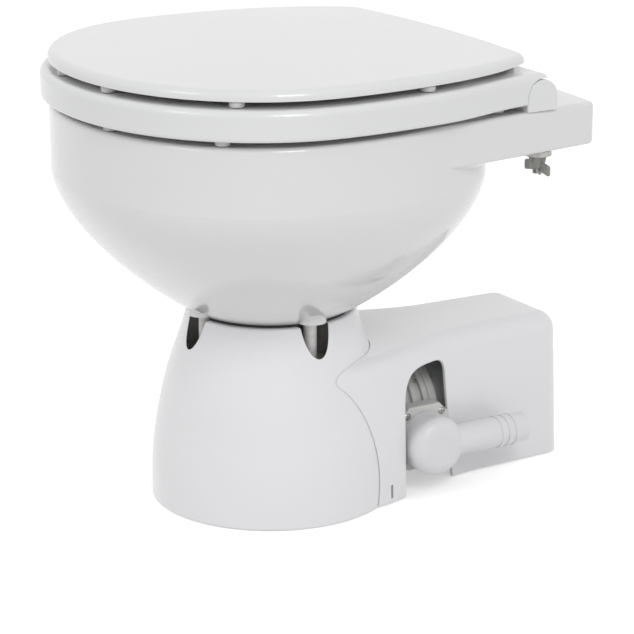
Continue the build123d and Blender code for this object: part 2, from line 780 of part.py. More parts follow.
with BuildPart() as wing_nuts:
    with BuildSketch(Plane.XY.offset(washer_bottom)):
        with Locations((-hinge_stud_x, hinge_stud_y), (hinge_stud_x, hinge_stud_y)):
            Circle(wing_hub_radius)
    extrude(amount=-wing_hub_height)
    with BuildSketch(Plane.XZ.offset(-hinge_stud_y - wing_thickness / 2)):
        for side in (-1, 1):
            for lean in (-1, 1):
                with BuildLine():
                    Polyline(
                        (side * hinge_stud_x, washer_bottom - wing_thickness),
                        (side * hinge_stud_x + lean * wing_hub_radius, washer_bottom - wing_thickness),
                        (side * hinge_stud_x + lean * wing_reach, washer_bottom - wing_height / 2),
                        (side * hinge_stud_x + lean * wing_reach, washer_bottom - wing_height),
                        (side * hinge_stud_x + lean * wing_hub_radius, washer_bottom - wing_hub_height),
                        (side * hinge_stud_x, washer_bottom - wing_hub_height),
                        close=True,
                    )
                make_face()
    extrude(amount=wing_thickness)
    with BuildSketch(Plane.XY.offset(washer_bottom + overrun)):
        with Locations((-hinge_stud_x, hinge_stud_y), (hinge_stud_x, hinge_stud_y)):
            Circle(hinge_stud_radius + close_fit)
    extrude(amount=-wing_hub_height - 2 * overrun, mode=Mode.SUBTRACT)
save(wing_nuts, "wing_nuts")

# Bumpers under the lid and under the seat, each with a stem in the piece that carries it
def bumper_places(grow, front_share, rear_share):
    """Where the six bumpers lie, close to the edge: at the nose, in front and at the back."""
    places = []
    for side in (-1, 1):
        front_wide = (lid_half_width + grow) * (1 - front_share**nose_power) ** (1 / nose_power)
        places.append((side * front_wide, widest_y - (nose_length + grow) * front_share))
        nose_share = (1 - (nose_bumper_x / (lid_half_width + grow)) ** nose_power) ** (1 / nose_power)
        places.append((side * nose_bumper_x, widest_y - (nose_length + grow) * nose_share))
        rear_y = widest_y + (lid_rear_y - widest_y) * rear_share
        places.append((side * side_width(rear_y, grow), rear_y))
    return places


with BuildPart() as lid_bumpers:
    with BuildSketch(Plane.XY.offset(seat_top + running_fit)):
        with Locations(*bumper_places(-lid_border / 2, bumper_front_share, bumper_rear_share)):
            Circle(bumper_radius)
    extrude(amount=lid_gap - running_fit)
save(lid_bumpers, "lid_bumpers")

with BuildPart() as seat_bumpers:
    with BuildSketch(Plane.XY.offset(rim_top + running_fit)):
        with Locations(*bumper_places(-seat_bumper_inset, seat_bumper_front_share, seat_bumper_rear_share)):
            Circle(bumper_radius)
    extrude(amount=seat_bottom - rim_top - running_fit)
save(seat_bumpers, "seat_bumpers")

# Waste duct: a cup round the bowl's horn, then a bend back to the pump
horn_bottom = foot_z - horn_drop
cup_inner = horn_radius + close_fit
duct_end_y = snout_start_y - duct_seal_gap
with BuildPart() as waste_duct:
    with BuildLine(Plane.YZ) as route:
        down = Line((0, horn_bottom), (0, pump_z + duct_bend))
        bend = JernArc(start=down @ 1, tangent=(0, -1), radius=duct_bend, arc_size=duct_turn)
        Line(bend @ 1, (duct_end_y, pump_z))
    with BuildSketch(Plane.XY.offset(horn_bottom)):
        Circle(duct_radius)
        Circle(duct_radius - duct_wall, mode=Mode.SUBTRACT)
    sweep(path=route.wires()[0])
    with BuildSketch(Plane.XY.offset(horn_bottom - duct_wall)):
        Circle(cup_inner + cup_wall)
        Circle(duct_radius - duct_wall, mode=Mode.SUBTRACT)
    extrude(amount=duct_wall)
    with BuildSketch(Plane.XY.offset(horn_bottom)):
        Circle(cup_inner + cup_wall)
        Circle(cup_inner, mode=Mode.SUBTRACT)
    extrude(amount=deck_bottom - body_gap - horn_bottom)
save(waste_duct, "waste_duct")

with BuildPart() as duct_seal:
    with BuildSketch(pump_axis.offset(duct_end_y)):
        Circle(duct_radius)
        Circle(duct_radius - duct_wall, mode=Mode.SUBTRACT)
    extrude(amount=duct_seal_gap)
save(duct_seal, "duct_seal")

# Pump housing: snout and chopper bore in front, impeller chamber with its bands, discharge port
with BuildPart() as pump_housing:
    with BuildSketch(pump_axis.offset(snout_start_y)):
        Circle(snout_radius)
    extrude(amount=chamber_start_y - snout_start_y)
    with BuildSketch(pump_axis.offset(chamber_start_y)):
        Circle(housing_radius)
    extrude(amount=housing_end_y - chamber_start_y)
    band_pitch = (housing_end_y - chamber_start_y - housing_band_width) / (housing_band_count - 1)
    for band in range(housing_band_count):
        with BuildSketch(pump_axis.offset(chamber_start_y + band * band_pitch)):
            Circle(housing_band_radius)
        extrude(amount=housing_band_width)
    rings = pump_housing.edges().filter_by(GeomType.CIRCLE)
    band_edges = rings.filter_by(lambda edge: abs(edge.radius - housing_band_radius) < close_fit)
    fillet(band_edges, housing_band_round)
    with BuildSketch(port_axis):
        Circle(port_boss_radius)
    extrude(amount=pad_back_x)
    with BuildSketch(port_axis.offset(pad_back_x)):
        with BuildLine():
            Polyline(*flange_corners, close=True)
        make_face()
    extrude(amount=pad_thickness)
    with BuildSketch(pump_axis.offset(snout_start_y - overrun)):
        Circle(chopper_radius)
    extrude(amount=wear_plate_y - snout_start_y + 2 * overrun, mode=Mode.SUBTRACT)
    with BuildSketch(pump_axis.offset(wear_plate_y)):
        Circle(chamber_radius)
    extrude(amount=housing_end_y - wear_plate_y + overrun, mode=Mode.SUBTRACT)
    with BuildSketch(port_axis):
        Circle(port_bore)
    extrude(amount=pad_back_x + pad_thickness + overrun, mode=Mode.SUBTRACT)
    with BuildSketch(pump_axis.offset(housing_end_y + overrun)):
        with PolarLocations(pump_screw_ring_radius, fixing_count, start_angle=45):
            Circle(screw_radius + close_fit)
    extrude(amount=-2 * overrun - housing_band_width, mode=Mode.SUBTRACT)
    with BuildSketch(port_axis.offset(flange_back_x + overrun)):
        with Locations(*flange_screw_places):
            Circle(screw_radius + close_fit)
    extrude(amount=-overrun - pad_thickness / 2, mode=Mode.SUBTRACT)
save(pump_housing, "pump_housing")

with BuildPart() as wear_plate:
    with BuildSketch(pump_axis.offset(wear_plate_y)):
        Circle(chamber_radius - close_fit)
        Circle(wear_plate_hole, mode=Mode.SUBTRACT)
    extrude(amount=wear_plate_thickness)
save(wear_plate, "wear_plate")

# Seal plate between pump and motor, with the boss of the front bearing behind it
with BuildPart() as seal_plate:
    with BuildSketch(pump_axis.offset(housing_end_y)):
        Circle(housing_band_radius)
    extrude(amount=seal_plate_thickness)
    with BuildSketch(pump_axis.offset(seal_plate_end_y)):
        Circle(bearing_radius + bearing_boss_wall)
    extrude(amount=bearing_width)
    with BuildSketch(pump_axis.offset(seal_plate_end_y + bearing_width + overrun)):
        Circle(bearing_radius + close_fit)
    extrude(amount=-overrun - bearing_width, mode=Mode.SUBTRACT)
    with BuildSketch(pump_axis.offset(housing_end_y - overrun)):
        Circle(seal_radius + close_fit)
    extrude(amount=seal_plate_thickness + 2 * overrun, mode=Mode.SUBTRACT)
    with BuildSketch(pump_axis.offset(housing_end_y - overrun)):
        with PolarLocations(pump_screw_ring_radius, fixing_count, start_angle=45):
            Circle(screw_radius + close_fit)
        with Locations((0, tie_bolt_ring_radius), (0, -tie_bolt_ring_radius)):
            Circle(tie_bolt_radius + close_fit)
    extrude(amount=seal_plate_thickness + 2 * overrun, mode=Mode.SUBTRACT)
save(seal_plate, "seal_plate")

with BuildPart() as shaft_seal:
    with BuildSketch(pump_axis.offset(housing_end_y)):
        Circle(seal_radius)
        Circle(shaft_bore, mode=Mode.SUBTRACT)
    extrude(amount=seal_plate_thickness)
save(shaft_seal, "shaft_seal")

with BuildPart() as pump_screws:
    with BuildSketch(pump_axis.offset(housing_end_y - housing_band_width)):
        with PolarLocations(pump_screw_ring_radius, fixing_count, start_angle=45):
            Circle(screw_radius)
    extrude(amount=housing_band_width + seal_plate_thickness)
    with BuildSketch(pump_axis.offset(seal_plate_end_y)):
        with PolarLocations(pump_screw_ring_radius, fixing_count, start_angle=45):
            Circle(screw_head_radius)
    extrude(amount=screw_head_height)
save(pump_screws, "pump_screws")

# Motor: can, end cap, tie bolts, magnets, bearings and brushes
with BuildPart() as motor_can:
    with BuildSketch(pump_axis.offset(seal_plate_end_y)):
        Circle(motor_radius)
        Circle(motor_radius - can_wall, mode=Mode.SUBTRACT)
    extrude(amount=can_length)
save(motor_can, "motor_can")

with BuildPart() as motor_end_cap:
    with BuildSketch(pump_axis.offset(can_end_y)):
        Circle(motor_radius)
    extrude(amount=end_cap_length)
    fillet(motor_end_cap.faces().sort_by(Axis.Y)[-1].edges(), end_cap_wall - body_gap)
    with BuildSketch(pump_axis.offset(can_end_y)):
        Circle(motor_radius - can_wall)
        Circle(bearing_radius + bearing_boss_wall, mode=Mode.SUBTRACT)
    extrude(amount=end_cap_length - end_cap_wall, mode=Mode.SUBTRACT)
    with BuildSketch(pump_axis.offset(can_end_y)):
        Circle(bearing_radius + close_fit)
    extrude(amount=bearing_width, mode=Mode.SUBTRACT)
    with BuildSketch(pump_axis.offset(can_end_y)):
        with Locations((0, tie_bolt_ring_radius), (0, -tie_bolt_ring_radius)):
            Circle(tie_bolt_radius + close_fit)
    extrude(amount=end_cap_length + overrun, mode=Mode.SUBTRACT)
save(motor_end_cap, "motor_end_cap")

with BuildPart() as tie_bolts:
    with BuildSketch(pump_axis.offset(housing_end_y + close_fit)):
        with Locations((0, tie_bolt_ring_radius), (0, -tie_bolt_ring_radius)):
            Circle(tie_bolt_radius)
    extrude(amount=cap_end_y - housing_end_y - close_fit)
    with BuildSketch(pump_axis.offset(cap_end_y)):
        with Locations((0, tie_bolt_ring_radius), (0, -tie_bolt_ring_radius)):
            RegularPolygon(screw_head_radius, 6)
    extrude(amount=screw_head_height)
save(tie_bolts, "tie_bolts")

with BuildPart() as motor_bearings:
    for start_y in (seal_plate_end_y, can_end_y):
        with BuildSketch(pump_axis.offset(start_y)):
            Circle(bearing_radius)
            Circle(shaft_bore, mode=Mode.SUBTRACT)
        extrude(amount=bearing_width)
save(motor_bearings, "motor_bearings")

magnet_start_y = seal_plate_end_y + (can_length - magnet_length) / 2
with BuildPart() as magnets:
    with BuildSketch(pump_axis.offset(magnet_start_y)):
        Circle(magnet_outer)
        Circle(magnet_outer - magnet_thickness, mode=Mode.SUBTRACT)
        Rectangle(magnet_outer, 2 * motor_radius, mode=Mode.SUBTRACT)
    extrude(amount=magnet_length)
save(magnets, "magnets")

with BuildPart() as motor_shaft:
    with BuildSketch(pump_axis.offset(shaft_front_y)):
        Circle(shaft_radius)
    extrude(amount=can_end_y + bearing_width - close_fit - shaft_front_y)
save(motor_shaft, "motor_shaft")

armature_start_y = magnet_start_y + (magnet_length - armature_length) / 2
armature_end_y = armature_start_y + armature_length
with BuildPart() as armature_core:
    with BuildSketch(pump_axis.offset(armature_start_y)):
        Circle(armature_radius)
        with PolarLocations(armature_radius, slot_count):
            Rectangle(2 * slot_depth, slot_width, mode=Mode.SUBTRACT)
        Circle(shaft_radius, mode=Mode.SUBTRACT)
    extrude(amount=armature_length)
save(armature_core, "armature_core")

with BuildPart() as windings:
    for start_y in (armature_start_y - winding_length, armature_end_y):
        with BuildSketch(pump_axis.offset(start_y)):
            Circle(winding_radius)
            Circle(shaft_radius + 2 * can_wall, mode=Mode.SUBTRACT)
        extrude(amount=winding_length)
    fillet(windings.faces().sort_by(Axis.Y)[0].outer_wire().edges(), winding_length / 3)
    fillet(windings.faces().sort_by(Axis.Y)[-1].outer_wire().edges(), winding_length / 3)
save(windings, "windings")

commutator_y = armature_end_y + winding_length
with BuildPart() as commutator:
    with BuildSketch(pump_axis.offset(commutator_y)):
        Circle(commutator_radius)
        Circle(shaft_radius, mode=Mode.SUBTRACT)
    extrude(amount=commutator_length)
save(commutator, "commutator")

brush_plate_y = commutator_y + commutator_length
with BuildPart() as brush_plate:
    with BuildSketch(pump_axis.offset(brush_plate_y)):
        Circle(magnet_outer)
        Circle(commutator_radius + body_gap, mode=Mode.SUBTRACT)
        with Locations((0, tie_bolt_ring_radius), (0, -tie_bolt_ring_radius)):
            Circle(tie_bolt_radius + 2 * close_fit, mode=Mode.SUBTRACT)
    extrude(amount=brush_plate_thickness)
save(brush_plate, "brush_plate")

with BuildPart() as brushes:
    with BuildSketch(pump_axis.offset(brush_plate_y)):
        for side in (-1, 1):
            with Locations((side * (commutator_radius + body_gap / 2 + brush_width), 0)):
                Rectangle(2 * brush_width, brush_width)
    extrude(amount=-brush_width)
save(brushes, "brushes")

# Impeller with swept vanes, chopper blade and the nut that holds them on the shaft
vane_root = impeller_hub_radius / 2
vane_tip = impeller_radius * vane_tip_share
with BuildPart() as impeller:
    for vane in range(vane_count):
        with BuildSketch(pump_axis.offset(impeller_y).rotated((0, 360 * vane / vane_count, 0))):
            with BuildLine():
                inner_arc = RadiusArc((vane_root, 0), (0, vane_tip), impeller_radius)
                outer_arc = RadiusArc(
                    (vane_root + vane_thickness, 0), (vane_thickness, vane_tip), impeller_radius
                )
                Line(inner_arc @ 0, outer_arc @ 0)
                Line(inner_arc @ 1, outer_arc @ 1)
            make_face()
        extrude(amount=impeller_depth)
    with BuildSketch(pump_axis.offset(impeller_y)):
        Circle(impeller_hub_radius)
    extrude(amount=impeller_depth)
    with BuildSketch(pump_axis.offset(impeller_y + impeller_depth)):
        Circle(impeller_radius)
    extrude(amount=impeller_disc)
    with BuildSketch(pump_axis.offset(impeller_y - overrun)):
        Circle(shaft_radius)
    extrude(amount=impeller_disc + impeller_depth + 2 * overrun, mode=Mode.SUBTRACT)
save(impeller, "impeller")

with BuildPart() as chopper_blade:
    with BuildSketch(pump_axis.offset(blade_y)):
        with BuildLine():
            Polyline(
                (-blade_half_width, blade_length * blade_shoulder_share),
                (-blade_half_width / 3, blade_length),
                (blade_half_width, blade_length),
                (blade_half_width, -blade_length * blade_shoulder_share),
                (blade_half_width / 3, -blade_length),
                (-blade_half_width, -blade_length),
                close=True,
            )
        make_face()
        Circle(shaft_radius, mode=Mode.SUBTRACT)
    extrude(amount=blade_thickness)
    # Tips bent towards the wear plate
    with BuildSketch(pump_axis.offset(blade_y + blade_thickness)):
        with PolarLocations(blade_length - blade_thickness / 2, 2, start_angle=90):
            Rectangle(blade_thickness, blade_half_width)
    extrude(amount=wear_plate_y - blade_y - blade_thickness - body_gap)
save(chopper_blade, "chopper_blade")

with BuildPart() as blade_nut:
    with BuildSketch(pump_axis.offset(blade_y)):
        RegularPolygon(2 * shaft_radius, 6)
        Circle(shaft_radius, mode=Mode.SUBTRACT)
    extrude(amount=-shaft_radius)
save(blade_nut, "blade_nut")

# Cradle under the motor, on two rubber pads, with a tab behind it for the cover's screws
tab_front_y = cover_rear_y - cover_wall - cradle_plate - 2 * body_gap
with BuildPart() as motor_cradle:
    with BuildSketch(Plane.XY.offset(pad_height)):
        with Locations((0, cradle_start_y)):
            Rectangle(2 * cradle_half_width, cradle_length, align=(Align.CENTER, Align.MIN))
    extrude(amount=cradle_height)
    with BuildSketch(pump_axis.offset(cradle_start_y - overrun)):
        Circle(motor_radius + close_fit)
    extrude(amount=cradle_length + 2 * overrun, mode=Mode.SUBTRACT)
    with BuildSketch(Plane.XY.offset(pad_height)):
        with Locations((0, cradle_start_y + cradle_length / 2)):
            Rectangle(
                2 * tab_half_width,
                tab_front_y + cradle_plate - cradle_start_y - cradle_length / 2,
                align=(Align.CENTER, Align.MIN),
            )
    extrude(amount=cradle_plate)
    with BuildSketch(Plane.XY.offset(pad_height)):
        with Locations((0, tab_front_y)):
            Rectangle(2 * tab_half_width, cradle_plate, align=(Align.CENTER, Align.MIN))
    extrude(amount=tab_height)
    with BuildSketch(Plane.XZ.offset(-tab_front_y + overrun)):
        with Locations((-cover_screw_x, cover_screw_z), (cover_screw_x, cover_screw_z)):
            Circle(screw_radius + close_fit)
    extrude(amount=-cradle_plate - 2 * overrun, mode=Mode.SUBTRACT)
save(motor_cradle, "motor_cradle")

with BuildPart() as cradle_pads:
    with BuildSketch():
        for start_y in (cradle_start_y, cradle_start_y + cradle_length - pad_length):
            with Locations((0, start_y)):
                Rectangle(2 * cradle_half_width, pad_length, align=(Align.CENTER, Align.MIN))
    extrude(amount=pad_height)
save(cradle_pads, "cradle_pads")

# Discharge: the flange plate traps the collar of the elbow, which swivels in it
with BuildPart() as discharge_flange:
    with BuildSketch(port_axis.offset(flange_back_x)):
        with BuildLine():
            Polyline(*flange_corners, close=True)
        make_face()
        with Locations(*flange_screw_places):
            Circle(screw_radius + close_fit, mode=Mode.SUBTRACT)
    extrude(amount=flange_thickness)
    fillet(discharge_flange.faces().sort_by(Axis.X)[-1].outer_wire().edges(), flange_edge_radius)
    with BuildSketch(port_axis.offset(flange_front_x)):
        with Locations(*flange_screw_places):
            Circle(screw_head_radius + close_fit)
    extrude(amount=-screw_head_height - close_fit, mode=Mode.SUBTRACT)
    with BuildSketch(port_axis.offset(flange_back_x)):
        Circle(collar_radius + body_gap / 2)
    extrude(amount=collar_thickness + body_gap, mode=Mode.SUBTRACT)
    with BuildSketch(port_axis.offset(flange_back_x)):
        Circle(neck_radius + running_fit)
    extrude(amount=flange_thickness + overrun, mode=Mode.SUBTRACT)
save(discharge_flange, "discharge_flange")

with BuildPart() as flange_screws:
    with BuildSketch(port_axis.offset(flange_front_x)):
        with Locations(*flange_screw_places):
            Circle(screw_radius)
    extrude(amount=-flange_thickness - pad_thickness / 2 + close_fit)
    with BuildSketch(port_axis.offset(flange_front_x)):
        with Locations(*flange_screw_places):
            Circle(screw_head_radius)
    extrude(amount=-screw_head_height)
save(flange_screws, "flange_screws")

collar_x = flange_back_x + body_gap / 2
elbow_back_x = flange_front_x + body_gap
tail_axis = Plane(origin=(tail_x, port_y, port_z), x_dir=(1, 0, 0), z_dir=(0, 1, 0))
with BuildPart() as discharge_elbow:
    with BuildSketch(port_axis.offset(elbow_back_x)):
        Circle(elbow_radius)
    extrude(amount=elbow_depth)
    fillet(discharge_elbow.faces().sort_by(Axis.X)[-1].edges(), elbow_round)
    with BuildSketch(port_axis.offset(collar_x)):
        Circle(neck_radius)
    extrude(amount=elbow_back_x - collar_x + overrun)
    with BuildSketch(port_axis.offset(collar_x)):
        Circle(collar_radius)
    extrude(amount=collar_thickness)
    with BuildSketch(tail_axis):
        Circle(tail_radius)
    extrude(amount=tail_end_y - port_y)
    for barb in range(barb_count):
        barb_end = tail_end_y - port_y - tail_land - barb * barb_pitch
        with BuildSketch(tail_axis.offset(barb_end - barb_pitch)):
            Circle(tail_radius + barb_rise)
        with BuildSketch(tail_axis.offset(barb_end)):
            Circle(tail_radius)
        loft()
    with BuildSketch(port_axis.offset(collar_x - overrun)):
        Circle(elbow_bore)
    extrude(amount=overrun + tail_x - collar_x, mode=Mode.SUBTRACT)
    with BuildSketch(tail_axis):
        Circle(tail_bore)
    extrude(amount=tail_end_y - port_y + overrun, mode=Mode.SUBTRACT)
save(discharge_elbow, "discharge_elbow")

# Joker valve: a rubber duckbill whose flange lies between pump and elbow
with BuildPart() as joker_valve:
    for wall, mode in ((0, Mode.ADD), (valve_wall, Mode.SUBTRACT)):
        with BuildSketch(port_axis.offset(flange_back_x)):
            Circle(valve_flange_radius - wall)
        with BuildSketch(port_axis.offset(flange_back_x + valve_length)):
            SlotOverall(2 * (valve_flange_radius - wall) - valve_lip_height, valve_lip_height - wall)
        loft(mode=mode)
save(joker_valve, "joker_valve")


def cover_shell(inset, top):
    """Solid of the cover's outline, drawn in by this much and tapering to this height."""
    with BuildPart() as shell:
        for height, shrink in ((cover_lift, 0), (top, cover_draft)):
            with BuildSketch(Plane.XY.offset(height)) as outline:
                with BuildLine():
                    flank = Spline(*cover_points(inset, shrink))
                    rear = (cover_rear_half_width - inset - shrink, cover_rear_y - inset - shrink / 2)
                    right = Polyline(flank @ 1, rear)
                    mirror(flank, about=Plane.YZ)
                    mirror(right, about=Plane.YZ)
                    Line((-rear[0], rear[1]), rear)
                    Line((-(flank @ 0).X, (flank @ 0).Y), flank @ 0)
                make_face()
                fillet(outline.vertices().group_by(Axis.Y)[-1], cover_corner_radius - inset)
        loft(ruled=True)
        fillet(shell.faces().sort_by(Axis.Z)[-1].edges(), cover_edge_radius - inset)
    return shell.part


# Motor cover: a drafted shell whose cheeks close on the pedestal, with an arch at the left side
with BuildPart() as motor_cover:
    add(cover_shell(0, cover_top))
    add(cover_shell(cover_wall, cover_top - cover_wall), mode=Mode.SUBTRACT)
    with BuildSketch(Plane.XY.offset(cover_lift - overrun)):
        Rectangle(2 * cover_rear_y, 2 * cover_rear_y)
    extrude(amount=overrun, mode=Mode.SUBTRACT)
    with BuildSketch(Plane.XZ):
        with BuildLine():
            bell = Spline(*pedestal_side(cover_seam))
            Polyline(bell @ 1, (0, pedestal_height), (0, 0), bell @ 0)
        make_face()
    revolve(axis=Axis.Z, mode=Mode.SUBTRACT)
    with BuildSketch(Plane.YZ.offset(tail_x - elbow_radius)):
        with BuildLine():
            front = Line((arch_front_y, 0), (arch_front_y, arch_spring_z))
            crown = Spline(
                front @ 1,
                (arch_top_y, arch_top_z),
                (arch_rear_top_y, arch_spring_z + cover_corner_radius),
                tangents=[(0, 1), (arch_rear_y - arch_rear_top_y, -arch_spring_z)],
            )
            rear = Line(crown @ 1, (arch_rear_y, 0))
            Line(rear @ 1, front @ 0)
        make_face()
    extrude(amount=pedestal_radius, mode=Mode.SUBTRACT)
    cut_edges = motor_cover.edges(Select.LAST)
    tall_edges = cut_edges.filter_by(lambda edge: edge.bounding_box().size.Z > cover_wall)
    arch_rim = [pair.sort_by(Axis.X)[-1] for pair in tall_edges.group_by(Axis.Y, tol_digits=0)]
    fillet(arch_rim, arch_edge_radius)
    with BuildSketch(Plane.XZ.offset(-slit_y - slit_width / 2)):
        with Locations((0, slit_bottom + slit_height / 2)):
            Rectangle(2 * pedestal_radius, slit_height)
    extrude(amount=slit_width, mode=Mode.SUBTRACT)
    with BuildSketch(Plane.XZ.offset(-cover_rear_y - overrun)):
        with Locations((-cover_screw_x, cover_screw_z), (cover_screw_x, cover_screw_z)):
            Circle(screw_radius + close_fit)
        with Locations((0, grommet_z)):
            Circle(grommet_radius + close_fit)
    extrude(amount=cover_wall + 3 * overrun, mode=Mode.SUBTRACT)
save(motor_cover, "motor_cover")

with BuildPart() as cover_screws:
    with BuildSketch(Plane.XZ.offset(-tab_front_y + overrun)):
        with Locations((-cover_screw_x, cover_screw_z), (cover_screw_x, cover_screw_z)):
            Circle(screw_radius)
    extrude(amount=-cover_rear_y - overrun + tab_front_y)
    with BuildSketch(Plane.XZ.offset(-cover_rear_y)):
        with Locations((-cover_screw_x, cover_screw_z), (cover_screw_x, cover_screw_z)):
            Circle(screw_head_radius)
    extrude(amount=-screw_head_height)
save(cover_screws, "cover_screws")

# Grommet for the motor's leads
grommet_front_y = cover_rear_y - cover_wall - cover_draft / 2
with BuildPart() as lead_grommet:
    with BuildSketch(Plane.XZ.offset(-grommet_front_y)):
        with Locations((0, grommet_z)):
            Circle(grommet_flange_radius)
    extrude(amount=screw_head_height)
    with BuildSketch(Plane.XZ.offset(-grommet_front_y)):
        with Locations((0, grommet_z)):
            Circle(grommet_radius)
    extrude(amount=-cover_wall - cover_draft / 2)
    with BuildSketch(Plane.XZ.offset(-cover_rear_y)):
        with Locations((0, grommet_z)):
            Circle(grommet_flange_radius)
    extrude(amount=-screw_head_height)
    with BuildSketch(Plane.XZ.offset(-grommet_front_y + overrun)):
        with Locations((0, grommet_z)):
            Circle(lead_bore)
    extrude(amount=-2 * overrun - cover_wall - cover_draft - screw_head_height, mode=Mode.SUBTRACT)
save(lead_grommet, "lead_grommet")

# Rinse inlet: a grommet in the bowl's rear wall, and the elbow that turns in it
wall_inside_y = bowl_rear_y - china_wall
rinse_bead_z = rinse_z - rinse_tail_length + rinse_land
with BuildPart() as rinse_grommet:
    with BuildSketch(rinse_axis.offset(wall_inside_y)):
        Circle(rinse_grommet_radius)
    extrude(amount=china_wall + rinse_boss_rise)
    with BuildSketch(rinse_axis.offset(bowl_rear_y + rinse_boss_rise)):
        Circle(rinse_flange_radius)
    extrude(amount=rinse_flange_thickness)
    with BuildSketch(rinse_axis.offset(wall_inside_y - overrun)):
        Circle(rinse_tube_radius + running_fit)
    extrude(amount=china_wall + rinse_boss_rise + rinse_flange_thickness + 2 * overrun, mode=Mode.SUBTRACT)
save(rinse_grommet, "rinse_grommet")

with BuildPart() as rinse_elbow:
    with BuildSketch(rinse_axis.offset(wall_inside_y)):
        Circle(rinse_tube_radius)
    extrude(amount=rinse_elbow_y - wall_inside_y)
    with Locations((0, rinse_elbow_y, rinse_z)):
        Sphere(rinse_knuckle_radius)
    with BuildSketch(Plane(origin=(0, rinse_elbow_y, rinse_z), x_dir=(1, 0, 0), z_dir=(0, 0, -1))):
        Circle(rinse_tube_radius)
    extrude(amount=rinse_tail_length)
    with BuildSketch(Plane(origin=(0, rinse_elbow_y, rinse_bead_z), x_dir=(1, 0, 0), z_dir=(0, 0, 1))):
        Circle(rinse_tube_radius + barb_rise)
    extrude(amount=rinse_bead_width)
    with BuildSketch(rinse_axis.offset(wall_inside_y - overrun)):
        Circle(rinse_bore)
    extrude(amount=rinse_elbow_y - wall_inside_y + overrun, mode=Mode.SUBTRACT)
    with BuildSketch(Plane(origin=(0, rinse_elbow_y, rinse_z), x_dir=(1, 0, 0), z_dir=(0, 0, -1))):
        Circle(rinse_bore)
    extrude(amount=rinse_tail_length + overrun, mode=Mode.SUBTRACT)
save(rinse_elbow, "rinse_elbow")
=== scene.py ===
"""Finishes of an electric marine toilet: glazed china, moulded plastics, rubber and metal, with the
small fasteners, bumpers and hinge fittings modelled on the places that the frame gives."""

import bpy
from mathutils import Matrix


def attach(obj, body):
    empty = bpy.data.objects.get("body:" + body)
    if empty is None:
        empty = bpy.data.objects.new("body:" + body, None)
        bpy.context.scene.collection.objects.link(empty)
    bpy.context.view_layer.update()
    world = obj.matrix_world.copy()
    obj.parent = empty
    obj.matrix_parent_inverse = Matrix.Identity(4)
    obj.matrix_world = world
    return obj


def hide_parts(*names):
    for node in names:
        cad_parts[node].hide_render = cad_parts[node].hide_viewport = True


bl_info = {
    "name": "Marine toilet",
    "version": (1, 0, 0),
    "blender": (4, 5, 0),
    "location": "View3D > Sidebar > Toilet",
    "description": "Glaze, plastics, rubber and fittings of an electric marine toilet",
    "category": "Object",
}

from math import cos, pi, radians, sin, sqrt

import bpy
from mathutils import Vector

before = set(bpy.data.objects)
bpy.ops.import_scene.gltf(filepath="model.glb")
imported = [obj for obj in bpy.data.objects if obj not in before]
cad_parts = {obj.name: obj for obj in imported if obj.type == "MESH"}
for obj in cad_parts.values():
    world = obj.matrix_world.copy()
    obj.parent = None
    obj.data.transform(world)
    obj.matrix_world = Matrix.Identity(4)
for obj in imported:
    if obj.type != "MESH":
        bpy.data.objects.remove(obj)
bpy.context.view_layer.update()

# A face is turned a given way when the cosine of its angle to it is over FACING. Edges sharper than
# SHARP are rounded, and shading is smooth across edges duller than SMOOTH.
FACING = 0.9
SHARP, SMOOTH = radians(30), radians(40)

# Two corners of a CAD mesh are one where they agree to this many decimals of a metre.
DECIMALS = 6

# Colours of fittings that are small or out of sight
HINGE_STEEL = (0.60, 0.60, 0.59, 1)
THREAD_STEEL = (0.55, 0.55, 0.54, 1)
WASHER_NYLON = (0.70, 0.68, 0.65, 1)
DUCT_BLACK = (0.05, 0.05, 0.055, 1)
NYLON_BLACK = (0.03, 0.03, 0.03, 1)
CARBON = (0.03, 0.03, 0.03, 1)
FERRITE = (0.035, 0.035, 0.038, 1)
CRADLE_PAINT = (0.08, 0.085, 0.09, 1)
CORE_STEEL, CORE_GAP = (0.25, 0.25, 0.26, 1), (0.05, 0.05, 0.05, 1)
WIRE_COPPER, WIRE_GAP = (0.62, 0.28, 0.14, 1), (0.12, 0.04, 0.02, 1)
BAR_COPPER, BAR_GAP = (0.60, 0.30, 0.17, 1), (0.2, 0.08, 0.04, 1)


